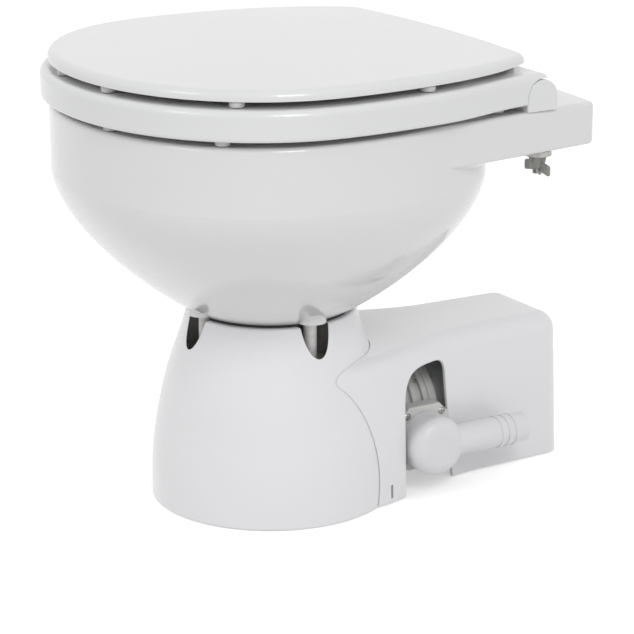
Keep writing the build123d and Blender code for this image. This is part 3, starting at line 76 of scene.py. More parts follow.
class ToiletFinishes(bpy.types.PropertyGroup):
    """Colours and gloss that a user would change."""

    china: bpy.props.FloatVectorProperty(
        name="China", description="Colour of the glazed bowl", subtype="COLOR",
        size=4, min=0, max=1, default=(0.772, 0.772, 0.775, 1),
    )
    mouldings: bpy.props.FloatVectorProperty(
        name="Mouldings", description="Colour of seat, lid and hinge posts", subtype="COLOR",
        size=4, min=0, max=1, default=(0.768, 0.772, 0.772, 1),
    )
    base: bpy.props.FloatVectorProperty(
        name="Base", description="Colour of pedestal and motor cover", subtype="COLOR",
        size=4, min=0, max=1, default=(0.85, 0.85, 0.865, 1),
    )
    pump: bpy.props.FloatVectorProperty(
        name="Pump", description="Colour of the pump's mouldings", subtype="COLOR",
        size=4, min=0, max=1, default=(0.66, 0.66, 0.64, 1),
    )
    # Painted shade: the walls inside the bolt pockets get this dark colour in place of the shadow that
    # falls in them.
    pocket_shade: bpy.props.FloatVectorProperty(
        name="Pocket shade", description="Colour of the painted shade inside the bolt pockets", subtype="COLOR",
        size=4, min=0, max=1, default=(0.16, 0.155, 0.15, 1),
    )
    seals: bpy.props.FloatVectorProperty(
        name="Seals", description="Colour of gaskets, grommets and pads", subtype="COLOR",
        size=4, min=0, max=1, default=(0.03, 0.03, 0.032, 1),
    )
    bumpers: bpy.props.FloatVectorProperty(
        name="Bumpers", description="Colour of the bumpers of seat and lid", subtype="COLOR",
        size=4, min=0, max=1, default=(0.74, 0.74, 0.72, 1),
    )
    sleeves: bpy.props.FloatVectorProperty(
        name="Sleeves", description="Colour of the sleeves in the bolt pockets", subtype="COLOR",
        size=4, min=0, max=1, default=(0.78, 0.76, 0.75, 1),
    )
    wing_nuts: bpy.props.FloatVectorProperty(
        name="Wing nuts", description="Colour of the wing nuts", subtype="COLOR",
        size=4, min=0, max=1, default=(0.36, 0.36, 0.34, 1),
    )
    steel: bpy.props.FloatVectorProperty(
        name="Steel", description="Colour of screws, bolts and the pump's steel", subtype="COLOR",
        size=4, min=0, max=1, default=(0.58, 0.58, 0.57, 1),
    )
    motor: bpy.props.FloatVectorProperty(
        name="Motor", description="Colour of the motor's paint", subtype="COLOR",
        size=4, min=0, max=1, default=(0.60, 0.61, 0.61, 1),
    )
    glaze_roughness: bpy.props.FloatProperty(
        name="Glaze roughness", description="Roughness of the china under its clear glaze",
        subtype="FACTOR", min=0, max=1, default=0.22,
    )
    plastic_roughness: bpy.props.FloatProperty(
        name="Plastic roughness", description="Roughness of seat and lid",
        subtype="FACTOR", min=0, max=1, default=0.24,
    )
    base_roughness: bpy.props.FloatProperty(
        name="Base roughness", description="Roughness of pedestal and motor cover",
        subtype="FACTOR", min=0, max=1, default=0.3,
    )


class ToiletFittings(bpy.types.PropertyGroup):
    """Sizes of the small pieces that are modelled here, and of the bolt pockets."""

    edge_round: bpy.props.FloatProperty(
        name="Edge round", description="Rounding of the edges of small metal pieces",
        subtype="DISTANCE", unit="LENGTH", min=0, default=0.0004,
    )
    bumper_round: bpy.props.FloatProperty(
        name="Bumper round", description="Rounding of a bumper's foot",
        subtype="DISTANCE", unit="LENGTH", min=0, default=0.0018,
    )
    thread_pitch: bpy.props.FloatProperty(
        name="Thread pitch", description="Pitch of the threads of the studs",
        subtype="DISTANCE", unit="LENGTH", min=0.0005, default=0.00125,
    )
    thread_depth: bpy.props.FloatProperty(
        name="Thread depth", description="Depth of the threads of the studs",
        subtype="DISTANCE", unit="LENGTH", min=0, default=0.0007,
    )
    pocket_ring: bpy.props.FloatProperty(
        name="Pocket ring", description="From the bowl's axis to the axes of the bolt pockets",
        subtype="DISTANCE", unit="LENGTH", min=0, default=0.064,
    )
    pocket_radius: bpy.props.FloatProperty(
        name="Pocket radius", description="Radius of the bolt pockets, with a little room",
        subtype="DISTANCE", unit="LENGTH", min=0, default=0.01365,
    )
    head_height: bpy.props.FloatProperty(
        name="Screw head height", description="Height of a pan head over its seat",
        subtype="DISTANCE", unit="LENGTH", min=0.0005, default=0.0026,
    )
    shank_radius: bpy.props.FloatProperty(
        name="Screw radius", description="Radius of the screws' shanks",
        subtype="DISTANCE", unit="LENGTH", min=0.0005, default=0.0018,
    )
    hub_height: bpy.props.FloatProperty(
        name="Wing nut hub", description="Height of the hub of a wing nut",
        subtype="DISTANCE", unit="LENGTH", min=0.002, default=0.0105,
    )
    wing_thickness: bpy.props.FloatProperty(
        name="Wing thickness", description="Thickness of a wing nut's wings",
        subtype="DISTANCE", unit="LENGTH", min=0.0005, default=0.0034,
    )


class ToiletStudio(bpy.types.PropertyGroup):
    """Lamps, floor and the camera, which stands as the photograph's did."""

    lamp_power: bpy.props.FloatProperty(
        name="Lamp power", description="Power of the side box", unit="POWER", min=0, default=8.6,
    )
    side_azimuth: bpy.props.FloatProperty(
        name="Side azimuth", description="Azimuth of the side box from the toilet's front",
        subtype="ANGLE", default=radians(79),
    )
    front_azimuth: bpy.props.FloatProperty(
        name="Front azimuth", description="Azimuth of the front box from the toilet's front",
        subtype="ANGLE", default=radians(8),
    )
    fill_share: bpy.props.FloatProperty(
        name="Fill", description="Power of the front box as a share of the side box's",
        subtype="FACTOR", min=0, max=1, default=0.42,
    )
    lamp_size: bpy.props.FloatProperty(
        name="Lamp size", description="Side of each soft box", subtype="DISTANCE",
        unit="LENGTH", min=0.05, default=0.62,
    )
    lamp_distance: bpy.props.FloatProperty(
        name="Lamp distance", description="From the toilet to each soft box", subtype="DISTANCE",
        unit="LENGTH", min=0.5, default=2.1,
    )
    lamp_height: bpy.props.FloatProperty(
        name="Lamp elevation", description="Elevation of the soft boxes", subtype="ANGLE",
        default=radians(40),
    )
    surround: bpy.props.FloatProperty(
        name="Surround", description="Brightness of the white tent round the toilet",
        min=0, max=2, default=0.68,
    )
    floor_glow: bpy.props.FloatProperty(
        name="Floor glow", description="Glow that makes the floor look white",
        min=0, max=2, default=0.43,
    )
    camera_place: bpy.props.FloatVectorProperty(
        name="Camera", description="Place of the camera", subtype="TRANSLATION", unit="LENGTH",
        default=(1.73703, -1.00490, 0.75528),
    )
    camera_tilt: bpy.props.FloatProperty(
        name="Camera tilt", description="How far the camera looks down", subtype="ANGLE",
        default=radians(16.81),
    )
    camera_heading: bpy.props.FloatProperty(
        name="Camera heading", description="Turn of the camera about the upright", subtype="ANGLE",
        default=radians(58.88),
    )
    camera_lens: bpy.props.FloatProperty(
        name="Camera lens", description="Focal length in millimetres, on a 36 mm wide sensor",
        min=1, default=145.0,
    )


def sizes():
    """The fittings' sizes in this scene."""
    return bpy.context.scene.toilet_fittings


def finishes():
    """The finishes in this scene."""
    return bpy.context.scene.toilet_finishes


# Materials


class Recipe:
    """The nodes of one material or world in the making."""

    def __init__(self, tree):
        self.nodes, self.links = tree.nodes, tree.links
        self.nodes.clear()

    def fill(self, socket, value):
        """A constant value or another node's output on a socket."""
        if isinstance(value, bpy.types.NodeSocket):
            self.links.new(value, socket)
        else:
            socket.default_value = value

    def place(self, stretch=(1, 1, 1)):
        """Object coordinates, stretched."""
        coordinates = self.nodes.new("ShaderNodeTexCoord")
        mapping = self.nodes.new("ShaderNodeMapping")
        mapping.inputs["Scale"].default_value = stretch
        self.links.new(coordinates.outputs["Object"], mapping.inputs["Vector"])
        return mapping.outputs["Vector"]

    def noise(self, place, scale, detail=2.0, roughness=0.5):
        """Noise at this many lumps a metre."""
        texture = self.nodes.new("ShaderNodeTexNoise")
        texture.inputs["Scale"].default_value = scale
        texture.inputs["Detail"].default_value = detail
        texture.inputs["Roughness"].default_value = roughness
        self.links.new(place, texture.inputs["Vector"])
        return texture.outputs["Fac"]

    def spread(self, value, low, high):
        """A noise, most of which lies round its middle, spread over another range."""
        spreader = self.nodes.new("ShaderNodeMapRange")
        spreader.inputs["From Min"].default_value = 0.3
        spreader.inputs["From Max"].default_value = 0.7
        spreader.inputs["To Min"].default_value = low
        spreader.inputs["To Max"].default_value = high
        self.links.new(value, spreader.inputs["Value"])
        return spreader.outputs["Result"]

    def blend(self, share, first, second):
        """A colour that goes from the first to the second with the share."""
        mixer = self.nodes.new("ShaderNodeMix")
        mixer.data_type = "RGBA"
        self.fill(mixer.inputs["Factor"], share)
        self.fill(mixer.inputs["A"], first)
        self.fill(mixer.inputs["B"], second)
        return mixer.outputs["Result"]

    def calculate(self, operation, *values):
        """One step of arithmetic on sockets or numbers."""
        step = self.nodes.new("ShaderNodeMath")
        step.operation = operation
        for socket, value in zip(step.inputs, values):
            self.fill(socket, value)
        return step.outputs["Value"]

    def in_view(self):
        """1 for rays that come from the camera, a mirror or glass, and 0 for the rest."""
        path = self.nodes.new("ShaderNodeLightPath")
        rays = [path.outputs[f"Is {kind} Ray"] for kind in ("Camera", "Glossy", "Transmission")]
        return self.calculate("MAXIMUM", self.calculate("MAXIMUM", *rays[:2]), rays[2])


class Finish(Recipe):
    """A material in the making, with the shader of its surface."""

    def __init__(self, name):
        self.material = bpy.data.materials.new(name)
        self.material.use_nodes = True
        super().__init__(self.material.node_tree)
        output = self.nodes.new("ShaderNodeOutputMaterial")
        self.shader = self.nodes.new("ShaderNodeBsdfPrincipled")
        self.links.new(self.shader.outputs["BSDF"], output.inputs["Surface"])

    def hold(self, constants):
        """Constant values on the shader's own sockets."""
        for socket, value in constants.items():
            self.shader.inputs[socket].default_value = value

    def tone(self, value, colour, darkest, lightest=1.0):
        """The colour, which goes with a noise from a darker to a lighter share of itself."""
        dark, light = shaded(colour, darkest), shaded(colour, lightest)
        mixed = self.blend(self.spread(value, 0, 1), dark, light)
        self.links.new(mixed, self.shader.inputs["Base Color"])

    def gloss(self, value, roughness, smoothest, roughest):
        """The roughness, which goes with a noise from a lower to a higher share of itself."""
        varied = self.spread(value, roughness * smoothest, roughness * roughest)
        self.links.new(varied, self.shader.inputs["Roughness"])

    def relief(self, *heights):
        """Bumps from (height, depth in metres) pairs, one on the other."""
        normal = None
        for height, depth in heights:
            bump = self.nodes.new("ShaderNodeBump")
            bump.inputs["Strength"].default_value = 1.0
            bump.inputs["Distance"].default_value = depth
            self.links.new(height, bump.inputs["Height"])
            if normal:
                self.links.new(normal, bump.inputs["Normal"])
            normal = bump.outputs["Normal"]
        self.links.new(normal, self.shader.inputs["Normal"])


def shaded(colour, factor):
    """The colour made darker or lighter by a factor."""
    return (*[min(1.0, channel * factor) for channel in colour[:3]], 1)


def glazed_china(name, colour, roughness):
    """Vitreous china: a clear glaze that pools a little, with soft waves in its surface."""
    wave_depth, peel_depth = 0.00035, 0.00001
    finish = Finish(name)
    place = finish.place()
    pooling = finish.noise(place, scale=9.0, detail=3.0)
    waves = finish.noise(place, scale=26.0, detail=1.0)
    orange_peel = finish.noise(place, scale=420.0)
    finish.tone(pooling, colour, darkest=0.975)
    finish.gloss(pooling, roughness, smoothest=0.8, roughest=1.2)
    finish.relief((waves, wave_depth), (orange_peel, peel_depth))
    finish.hold({"Coat Weight": 0.6, "Coat Roughness": 0.04, "Coat IOR": 1.5})
    finish.hold({
        "Subsurface Weight": 0.06,
        "Subsurface Radius": (0.003, 0.003, 0.003),
        "Subsurface Scale": 1.0,
    })
    return finish


def moulded_plastic(name, colour, roughness, grain=1500.0, grain_depth=0.000004, coat=0.0):
    """Injection-moulded plastic: faint flow in its colour, a fine grain and a slight sink."""
    sink_depth = 0.00012
    finish = Finish(name)
    place = finish.place()
    flow = finish.noise(finish.place(stretch=(1, 1, 2.5)), scale=7.0, detail=3.0)
    scuffs = finish.noise(place, scale=22.0)
    sink = finish.noise(place, scale=18.0, detail=1.0)
    fine = finish.noise(place, scale=grain)
    finish.tone(flow, colour, darkest=0.985)
    finish.gloss(scuffs, roughness, smoothest=0.93, roughest=1.1)
    finish.relief((sink, sink_depth), (fine, grain_depth))
    finish.hold({"IOR": 1.49, "Coat Weight": coat, "Coat Roughness": 0.06})
    return finish


def paint_pocket_shade(finish, colour):
    """Painted shade: a dark colour, in place of the shadow there, on the walls inside the four bolt
    pockets, whose axes cross X and Y on a ring.
    """
    axes = finish.nodes.new("ShaderNodeSeparateXYZ")
    finish.links.new(finish.place(), axes.inputs["Vector"])
    sides = [finish.calculate("ABSOLUTE", axes.outputs[axis]) for axis in "XY"]
    along = finish.calculate("SUBTRACT", finish.calculate("MAXIMUM", *sides), sizes().pocket_ring)
    across = finish.calculate("MINIMUM", *sides)
    squares = [finish.calculate("MULTIPLY", side, side) for side in (along, across)]
    away = finish.calculate("SQRT", finish.calculate("ADD", *squares))
    # Painted shade: surfaces within the pockets' radius of their axes take the dark colour.
    inside = finish.calculate("LESS_THAN", away, sizes().pocket_radius)
    surface = finish.shader.inputs["Base Color"]
    outer = surface.links[0].from_socket
    finish.links.new(finish.blend(inside, outer, colour), surface)


def soft_rubber(name, colour, roughness=0.7, clear=0.0):
    """Rubber or soft nylon: dusty specks, a bloom in its colour and a sheen."""
    grain_depth = 0.00004
    finish = Finish(name)
    place = finish.place()
    bloom = finish.noise(place, scale=130.0, detail=5.0, roughness=0.6)
    grain = finish.noise(place, scale=1600.0, detail=3.0)
    finish.tone(bloom, colour, darkest=0.8, lightest=1.15)
    finish.gloss(bloom, roughness, smoothest=0.85, roughest=1.1)
    finish.relief((grain, grain_depth))
    finish.hold({"Sheen Weight": 0.12, "Sheen Roughness": 0.4, "Transmission Weight": clear})
    return finish


def drawn_metal(name, colour, roughness=0.28, along="Y"):
    """Metal drawn or brushed along one axis: long fine scratches in its surface and gloss."""
    across, lengthwise, scratch_depth = 900.0, 25.0, 0.00002
    stretch = [lengthwise if axis == along else across for axis in "XYZ"]
    finish = Finish(name)
    scratches = finish.noise(finish.place(stretch), scale=1.0, detail=3.0, roughness=0.65)
    stains = finish.noise(finish.place(), scale=45.0, detail=4.0)
    finish.tone(stains, colour, darkest=0.86, lightest=1.06)
    finish.gloss(scratches, roughness, smoothest=0.7, roughest=1.4)
    finish.relief((scratches, scratch_depth))
    finish.hold({"Metallic": 1.0})
    return finish


def painted_metal(name, colour, roughness=0.32):
    """Stove-enamelled metal: orange peel and a few dull patches."""
    peel_depth = 0.00005
    finish = Finish(name)
    place = finish.place()
    patches = finish.noise(place, scale=30.0, detail=4.0)
    orange_peel = finish.noise(place, scale=380.0)
    finish.tone(patches, colour, darkest=0.93, lightest=1.03)
    finish.gloss(patches, roughness, smoothest=0.8, roughest=1.3)
    finish.relief((orange_peel, peel_depth))
    return finish


def banded_metal(name, colour, gap_colour, spacing, axis="Y"):
    """Stacked laminations, wound wire or bars: dark gaps at an even spacing along one axis."""
    # A wave texture of scale 1 turns by this many radians a metre.
    turn_at_unit_scale = 20
    roughness = 0.4
    gap_depth = spacing / 6
    finish = Finish(name)
    bands = finish.nodes.new("ShaderNodeTexWave")
    bands.bands_direction = axis
    bands.inputs["Scale"].default_value = 2 * pi / (turn_at_unit_scale * spacing)
    bands.inputs["Distortion"].default_value = 0.4
    bands.inputs["Detail"].default_value = 1.0
    finish.links.new(finish.place(), bands.inputs["Vector"])
    stripes = bands.outputs["Fac"]
    tone = finish.blend(stripes, gap_colour, colour)
    finish.links.new(tone, finish.shader.inputs["Base Color"])
    stains = finish.noise(finish.place(), scale=90.0, detail=3.0)
    finish.gloss(stains, roughness, smoothest=0.8, roughest=1.3)
    finish.relief((stripes, gap_depth))
    finish.hold({"Metallic": 1.0})
    return finish


def dress(finish, *nodes):
    """Give CAD nodes a finish in every one of their slots."""
    for node in nodes:
        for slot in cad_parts[node].material_slots:
            slot.material = finish.material


# Modelling helpers


def deselect():
    """Leave edit mode, and leave nothing selected."""
    if bpy.context.object and bpy.context.object.mode != "OBJECT":
        bpy.ops.object.mode_set(mode="OBJECT")
    bpy.ops.object.select_all(action="DESELECT")


def pick(piece):
    """Make this the one selected, active object."""
    deselect()
    piece.select_set(True)
    bpy.context.view_layer.objects.active = piece


def choose(piece, kind, test):
    """Edit the piece with those faces selected whose middle and normal pass the test, or those edges
    whose two ends do."""
    pick(piece)
    mesh = piece.data
    bpy.ops.object.mode_set(mode="EDIT")
    bpy.ops.mesh.select_mode(type=kind)
    bpy.ops.mesh.select_all(action="DESELECT")
    bpy.ops.object.mode_set(mode="OBJECT")
    if kind == "FACE":
        for face in mesh.polygons:
            face.select = bool(test(face.center, face.normal))
    else:
        for edge in mesh.edges:
            ends = [mesh.vertices[i].co for i in edge.vertices]
            edge.select = bool(test(*ends))
    bpy.ops.object.mode_set(mode="EDIT")


def settle(piece, name):
    """Name a finished piece, and put its place into its mesh."""
    pick(piece)
    bpy.ops.object.transform_apply(location=True, rotation=True, scale=True)
    piece.name = name
    piece.data.name = name
    return piece


def apply_modifiers(piece):
    """Apply all modifiers of the piece, in order."""
    pick(piece)
    for modifier in [m.name for m in piece.modifiers]:
        bpy.ops.object.modifier_apply(modifier=modifier)


def round_edges(piece, width, segments):
    """Round the piece's sharp edges and shade it smooth."""
    pick(piece)
    bevel = piece.modifiers.new("rounded", "BEVEL")
    bevel.width = width
    bevel.segments = segments
    bevel.limit_method = "ANGLE"
    bevel.angle_limit = SHARP
    apply_modifiers(piece)
    bpy.ops.object.shade_smooth_by_angle(angle=SMOOTH)


def cut_away(piece, cutter):
    """Cut one piece with another, which is then gone."""
    pick(piece)
    cut = piece.modifiers.new("cut", "BOOLEAN")
    cut.operation = "DIFFERENCE"
    cut.object = cutter
    cut.solver = "EXACT"
    apply_modifiers(piece)
    bpy.data.objects.remove(cutter, do_unlink=True)


def join(pieces):
    """Join pieces into the first."""
    deselect()
    for piece in pieces:
        piece.select_set(True)
    bpy.context.view_layer.objects.active = pieces[0]
    bpy.ops.object.join()
    return pieces[0]


def rod(radius, start, end, sides=40):
    """A cylinder from one point to another along an axis."""
    start, end = Vector(start), Vector(end)
    along = end - start
    deselect()
    bpy.ops.mesh.primitive_cylinder_add(
        vertices=sides, radius=radius, depth=along.length, location=(start + end) / 2,
        rotation=along.to_track_quat("Z", "Y").to_euler(),
    )
    return bpy.context.object


def solids_of(node):
    """(lowest, highest) corner of each separate solid of a CAD node, in the order of the lowest
    corner's distance from the origin."""
    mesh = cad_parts[node].data
    group = {}

    def root_of(key):
        while group[key] != key:
            key = group[key]
        return key

    keys = [tuple(round(c, DECIMALS) for c in v.co) for v in mesh.vertices]
    for key in keys:
        group[key] = key
    for face in mesh.polygons:
        roots = [root_of(keys[i]) for i in face.vertices]
        for other in roots[1:]:
            group[other] = roots[0]
    corners = {}
    for key in group:
        low, high = corners.setdefault(root_of(key), (list(key), list(key)))
        for axis, value in enumerate(key):
            low[axis] = min(low[axis], value)
            high[axis] = max(high[axis], value)
    boxes = [(Vector(low), Vector(high)) for low, high in corners.values()]
    return sorted(boxes, key=lambda box: box[0].length)


def copy_to(master, place, name, facing=(0, 0, 1)):
    """A copy of the piece with its own mesh, moved by this much, with its Z turned this way."""
    copy = master.copy()
    copy.data = master.data.copy()
    bpy.context.collection.objects.link(copy)
    copy.location = place
    copy.rotation_euler = Vector(facing).to_track_quat("Z", "Y").to_euler()
    return settle(copy, name)


def discard(master):
    """Take away a master once its copies are made."""
    bpy.data.objects.remove(master, do_unlink=True)


def threaded_stud(radius, low, high):
    """A stud along Z with a helical thread of 60 degree teeth and closed ends."""
    pitch, depth = sizes().thread_pitch, sizes().thread_depth
    corner = pitch / sqrt(3)
    sharp_depth = 1.5 * corner
    merge_distance = pitch / 1000
    flank_smooth = radians(35)
    deselect()
    bpy.ops.mesh.primitive_circle_add(
        vertices=3, radius=corner, fill_type="NOTHING", rotation=(pi / 2, pi / 2, 0)
    )
    stud = bpy.context.object
    stud.scale = (1, depth / sharp_depth, 1)
    settle(stud, "stud")
    root = min(v.co.x for v in stud.data.vertices)
    choose(stud, "EDGE", lambda a, b: max(a.x, b.x) < root + depth / 2)
    bpy.ops.mesh.delete(type="EDGE")
    bpy.ops.object.mode_set(mode="OBJECT")
    crest = max(v.co.x for v in stud.data.vertices)
    stud.location = (radius - crest, 0, low.z + pitch / 2)
    settle(stud, "stud")
    turns = stud.modifiers.new("thread", "SCREW")
    turns.screw_offset = pitch
    turns.iterations = int((high.z - low.z) / pitch) - 1
    turns.steps = turns.render_steps = 20
    apply_modifiers(stud)
    choose(stud, "EDGE", lambda a, b: True)
    bpy.ops.mesh.remove_doubles(threshold=merge_distance)
    bpy.ops.mesh.fill_holes(sides=0)
    bpy.ops.mesh.normals_make_consistent(inside=False)
    bpy.ops.object.mode_set(mode="OBJECT")
    bpy.ops.object.shade_smooth_by_angle(angle=flank_smooth)
    stud.location = ((low.x + high.x) / 2, (low.y + high.y) / 2, 0)
    return settle(stud, "stud")


def pan_screw(head_radius, length):
    """A screw along Z with its seat at zero: a domed head with a cross recess, and its shank."""
    height, radius = sizes().head_height, sizes().shank_radius
    dome = height * 0.6
    recess_length, recess_width = head_radius * 1.1, head_radius * 0.24
    overlap = height / 4
    edge_round = height / 16
    screw = rod(head_radius, (0, 0, 0), (0, 0, height))
    settle(screw, "screw")
    choose(screw, "FACE", lambda centre, normal: normal.z > FACING)
    bpy.ops.mesh.bevel(offset=dome, segments=5)
    bpy.ops.object.mode_set(mode="OBJECT")
    for turn in (0, pi / 2):
        deselect()
        bpy.ops.mesh.primitive_cube_add(
            size=1, location=(0, 0, height), rotation=(0, 0, turn),
            scale=(recess_length, recess_width, height),
        )
        cut_away(screw, bpy.context.object)
    screw = join([screw, rod(radius, (0, 0, -length), (0, 0, overlap), sides=24)])
    round_edges(screw, edge_round, segments=2)
    return screw


def finish_piece(piece, body, finish, slot, *nodes):
    """Give a new piece its finish and its body, and hide the CAD nodes that it stands for."""
    piece.data.materials.clear()
    piece.data.materials.append(finish.material)
    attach(piece, body)
    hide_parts(*nodes)


# Operators


class TOILET_OT_china(bpy.types.Operator):
    """Glaze the bowl"""

    bl_idname = "toilet.china"
    bl_label = "China"

    def execute(self, context):
        look = finishes()
        dress(glazed_china("white china", look.china, look.glaze_roughness), "bowl")
        return {"FINISHED"}


class TOILET_OT_mouldings(bpy.types.Operator):
    """Finish seat, lid, hinge posts, pedestal and motor cover, with painted shade in the pedestal's
    bolt pockets
    """

    bl_idname = "toilet.mouldings"
    bl_label = "Mouldings"

    def execute(self, context):
        look = finishes()
        gloss = moulded_plastic("gloss seat moulding", look.mouldings, look.plastic_roughness, coat=0.5)
        dress(gloss, "seat", "lid", "hinge_post_left", "hinge_post_right")
        cover = moulded_plastic("gloss base moulding", look.base, look.base_roughness, coat=0.4)
        dress(cover, "motor_cover")
        bell = moulded_plastic("bell moulding", look.base, look.base_roughness, coat=0.4)
        # Painted shade in the bolt pockets, on the pedestal's material
        paint_pocket_shade(bell, look.pocket_shade)
        dress(bell, "pedestal")
        return {"FINISHED"}


class TOILET_OT_seals(bpy.types.Operator):
    """Finish gaskets, grommets, pads and the joker valve"""

    bl_idname = "toilet.seals"
    bl_label = "Seals"

    def execute(self, context):
        black = soft_rubber("black rubber", finishes().seals)
        dress(
            black, "bowl_gasket", "duct_seal", "shaft_seal", "cradle_pads", "lead_grommet",
            "rinse_grommet", "joker_valve",
        )
        return {"FINISHED"}


class TOILET_OT_bumpers(bpy.types.Operator):
    """Model the soft bumpers under the lid and under the seat"""

    bl_idname = "toilet.bumpers"
    bl_label = "Bumpers"

    def execute(self, context):
        white = soft_rubber("white bumper rubber", finishes().bumpers, roughness=0.4, clear=0.25)
        for node, body in (("lid_bumpers", "lid_body"), ("seat_bumpers", "seat_body")):
            places = solids_of(node)
            low, high = places[0]
            radius = (high.x - low.x) / 2
            rim, hollow = radius / 3, (high.z - low.z) / 12
            master = rod(radius, (0, 0, low.z), (0, 0, high.z))
            settle(master, "bumper")
            choose(master, "FACE", lambda centre, normal: normal.z < -FACING)
            bpy.ops.mesh.inset(thickness=rim)
            bpy.ops.transform.translate(value=(0, 0, hollow))
            bpy.ops.object.mode_set(mode="OBJECT")
            round_edges(master, sizes().bumper_round, segments=4)
            for number, (low, high) in enumerate(places):
                middle = (low + high) / 2
                bumper = copy_to(master, (middle.x, middle.y, 0), f"{node}_{number}")
                finish_piece(bumper, body, white, "bumper_rubber", node)
            discard(master)
        return {"FINISHED"}


class TOILET_OT_hinges(bpy.types.Operator):
    """Model wing nuts and threaded studs under the shelf, and finish pins and washers"""

    bl_idname = "toilet.hinges"
    bl_label = "Hinges"

    def execute(self, context):
        dress(drawn_metal("stainless steel", HINGE_STEEL), "hinge_pins")
        washer = soft_rubber("pale washer", WASHER_NYLON, roughness=0.45, clear=0.2)
        dress(washer, "hinge_washers")
        nylon = soft_rubber("grey nylon", finishes().wing_nuts, roughness=0.3, clear=0.3)
        thread = drawn_metal("thread steel", THREAD_STEEL, roughness=0.2)
        stud_places, nut_places = solids_of("hinge_studs"), solids_of("wing_nuts")
        low, high = stud_places[0]
        radius = (high.x - low.x) / 2
        for side, (low, high) in zip(("right", "left"), stud_places):
            stud = settle(threaded_stud(radius, low, high), f"hinge_stud_{side}")
            finish_piece(stud, "base", thread, "steel", "hinge_studs")
        master = self.wing_nut(*nut_places[0], bore=radius + sizes().edge_round / 2)
        for side, (low, high) in zip(("right", "left"), nut_places):
            middle = (low + high) / 2
            nut = copy_to(master, (middle.x, middle.y, 0), f"wing_nut_{side}")
            finish_piece(nut, "base", nylon, "wing_nut_plastic", "wing_nuts")
        discard(master)
        return {"FINISHED"}

    def wing_nut(self, low, high, bore):
        """A tapered hub about Z, with two rounded wings whose ends droop."""
        hub_height, thickness = sizes().hub_height, sizes().wing_thickness
        hub_radius = (high.y - low.y) / 2
        reach = (high.x - low.x) / 2
        root = hub_radius * 0.6
        taper = 0.74
        wing_height = (high.z - low.z) * 0.6
        droop, wing_round = thickness * 0.6, thickness * 0.42
        hub = rod(hub_radius, (0, 0, high.z), (0, 0, high.z - hub_height))
        settle(hub, "hub")
        choose(hub, "FACE", lambda centre, normal: normal.z < -FACING)
        bpy.ops.transform.resize(value=(taper, taper, 1))
        bpy.ops.object.mode_set(mode="OBJECT")
        parts = [hub]
        for side in (-1, 1):
            deselect()
            bpy.ops.mesh.primitive_cube_add(
                size=1, location=(side * (root + reach) / 2, 0, (low.z + high.z - thickness) / 2),
                scale=(reach - root, thickness, wing_height),
            )
            wing = settle(bpy.context.object, "wing")
            choose(wing, "FACE", lambda centre, normal: normal.x * side > FACING)
            bpy.ops.transform.translate(value=(0, 0, -droop))
            bpy.ops.object.mode_set(mode="OBJECT")
            round_edges(wing, wing_round, segments=4)
            parts.append(wing)
        nut = join(parts)
        cut_away(nut, rod(bore, (0, 0, low.z - hub_height), (0, 0, high.z + hub_height)))
        round_edges(nut, sizes().edge_round, segments=2)
        return settle(nut, "wing nut")


class TOILET_OT_bowl_fixings(bpy.types.Operator):
    """Finish the studs, sleeves, washers and nuts that clamp the bowl"""

    bl_idname = "toilet.bowl_fixings"
    bl_label = "Bowl fixings"

    def execute(self, context):
        look = finishes()
        steel = drawn_metal("stainless fixings", look.steel, along="Z")
        dress(steel, "bowl_studs", "bowl_washers", "bowl_nuts")
        sleeve = soft_rubber("sleeve nylon", look.sleeves, roughness=0.45, clear=0.05)
        dress(sleeve, "bolt_sleeves")
        return {"FINISHED"}


class TOILET_OT_pump(bpy.types.Operator):
    """Finish pump, duct, discharge and rinse fittings"""

    bl_idname = "toilet.pump"
    bl_label = "Pump"

    def execute(self, context):
        look = finishes()
        housing = moulded_plastic(
            "pump moulding", look.pump, roughness=0.42, grain=500.0, grain_depth=0.00004,
        )
        dress(housing, "pump_housing", "seal_plate", "discharge_flange")
        elbow = moulded_plastic(
            "elbow moulding", shaded(look.base, factor=0.93), roughness=0.34, grain=600.0,
            grain_depth=0.00003,
        )
        dress(elbow, "discharge_elbow", "rinse_elbow")
        duct = moulded_plastic(
            "duct moulding", DUCT_BLACK, roughness=0.5, grain=400.0, grain_depth=0.00005,
        )
        dress(duct, "waste_duct")
        black = moulded_plastic(
            "black nylon", NYLON_BLACK, roughness=0.45, grain=500.0, grain_depth=0.00004,
        )
        dress(black, "impeller", "brush_plate")
        steel = drawn_metal("pump steel", look.steel, along="X")
        dress(steel, "wear_plate", "chopper_blade", "blade_nut")
        return {"FINISHED"}


class TOILET_OT_screws(bpy.types.Operator):
    """Model the cross-recessed screws of pump, flange and cover"""

    bl_idname = "toilet.screws"
    bl_label = "Screws"

    def execute(self, context):
        steel = drawn_metal("screw steel", finishes().steel, roughness=0.24, along="X")
        sideways, backwards = Vector((1, 0, 0)), Vector((0, 1, 0))
        for node, facing in (
            ("flange_screws", sideways), ("pump_screws", backwards), ("cover_screws", backwards),
        ):
            places = solids_of(node)
            low, high = places[0]
            head_radius = (high.z - low.z) / 2
            master = pan_screw(head_radius, (high - low).dot(facing) - sizes().head_height)
            for number, (low, high) in enumerate(places):
                middle = (low + high) / 2
                seat = middle + facing * ((high - low).dot(facing) / 2 - sizes().head_height)
                screw = copy_to(master, seat, f"{node}_{number}", facing)
                finish_piece(screw, "base", steel, "steel", node)
            discard(master)
        return {"FINISHED"}


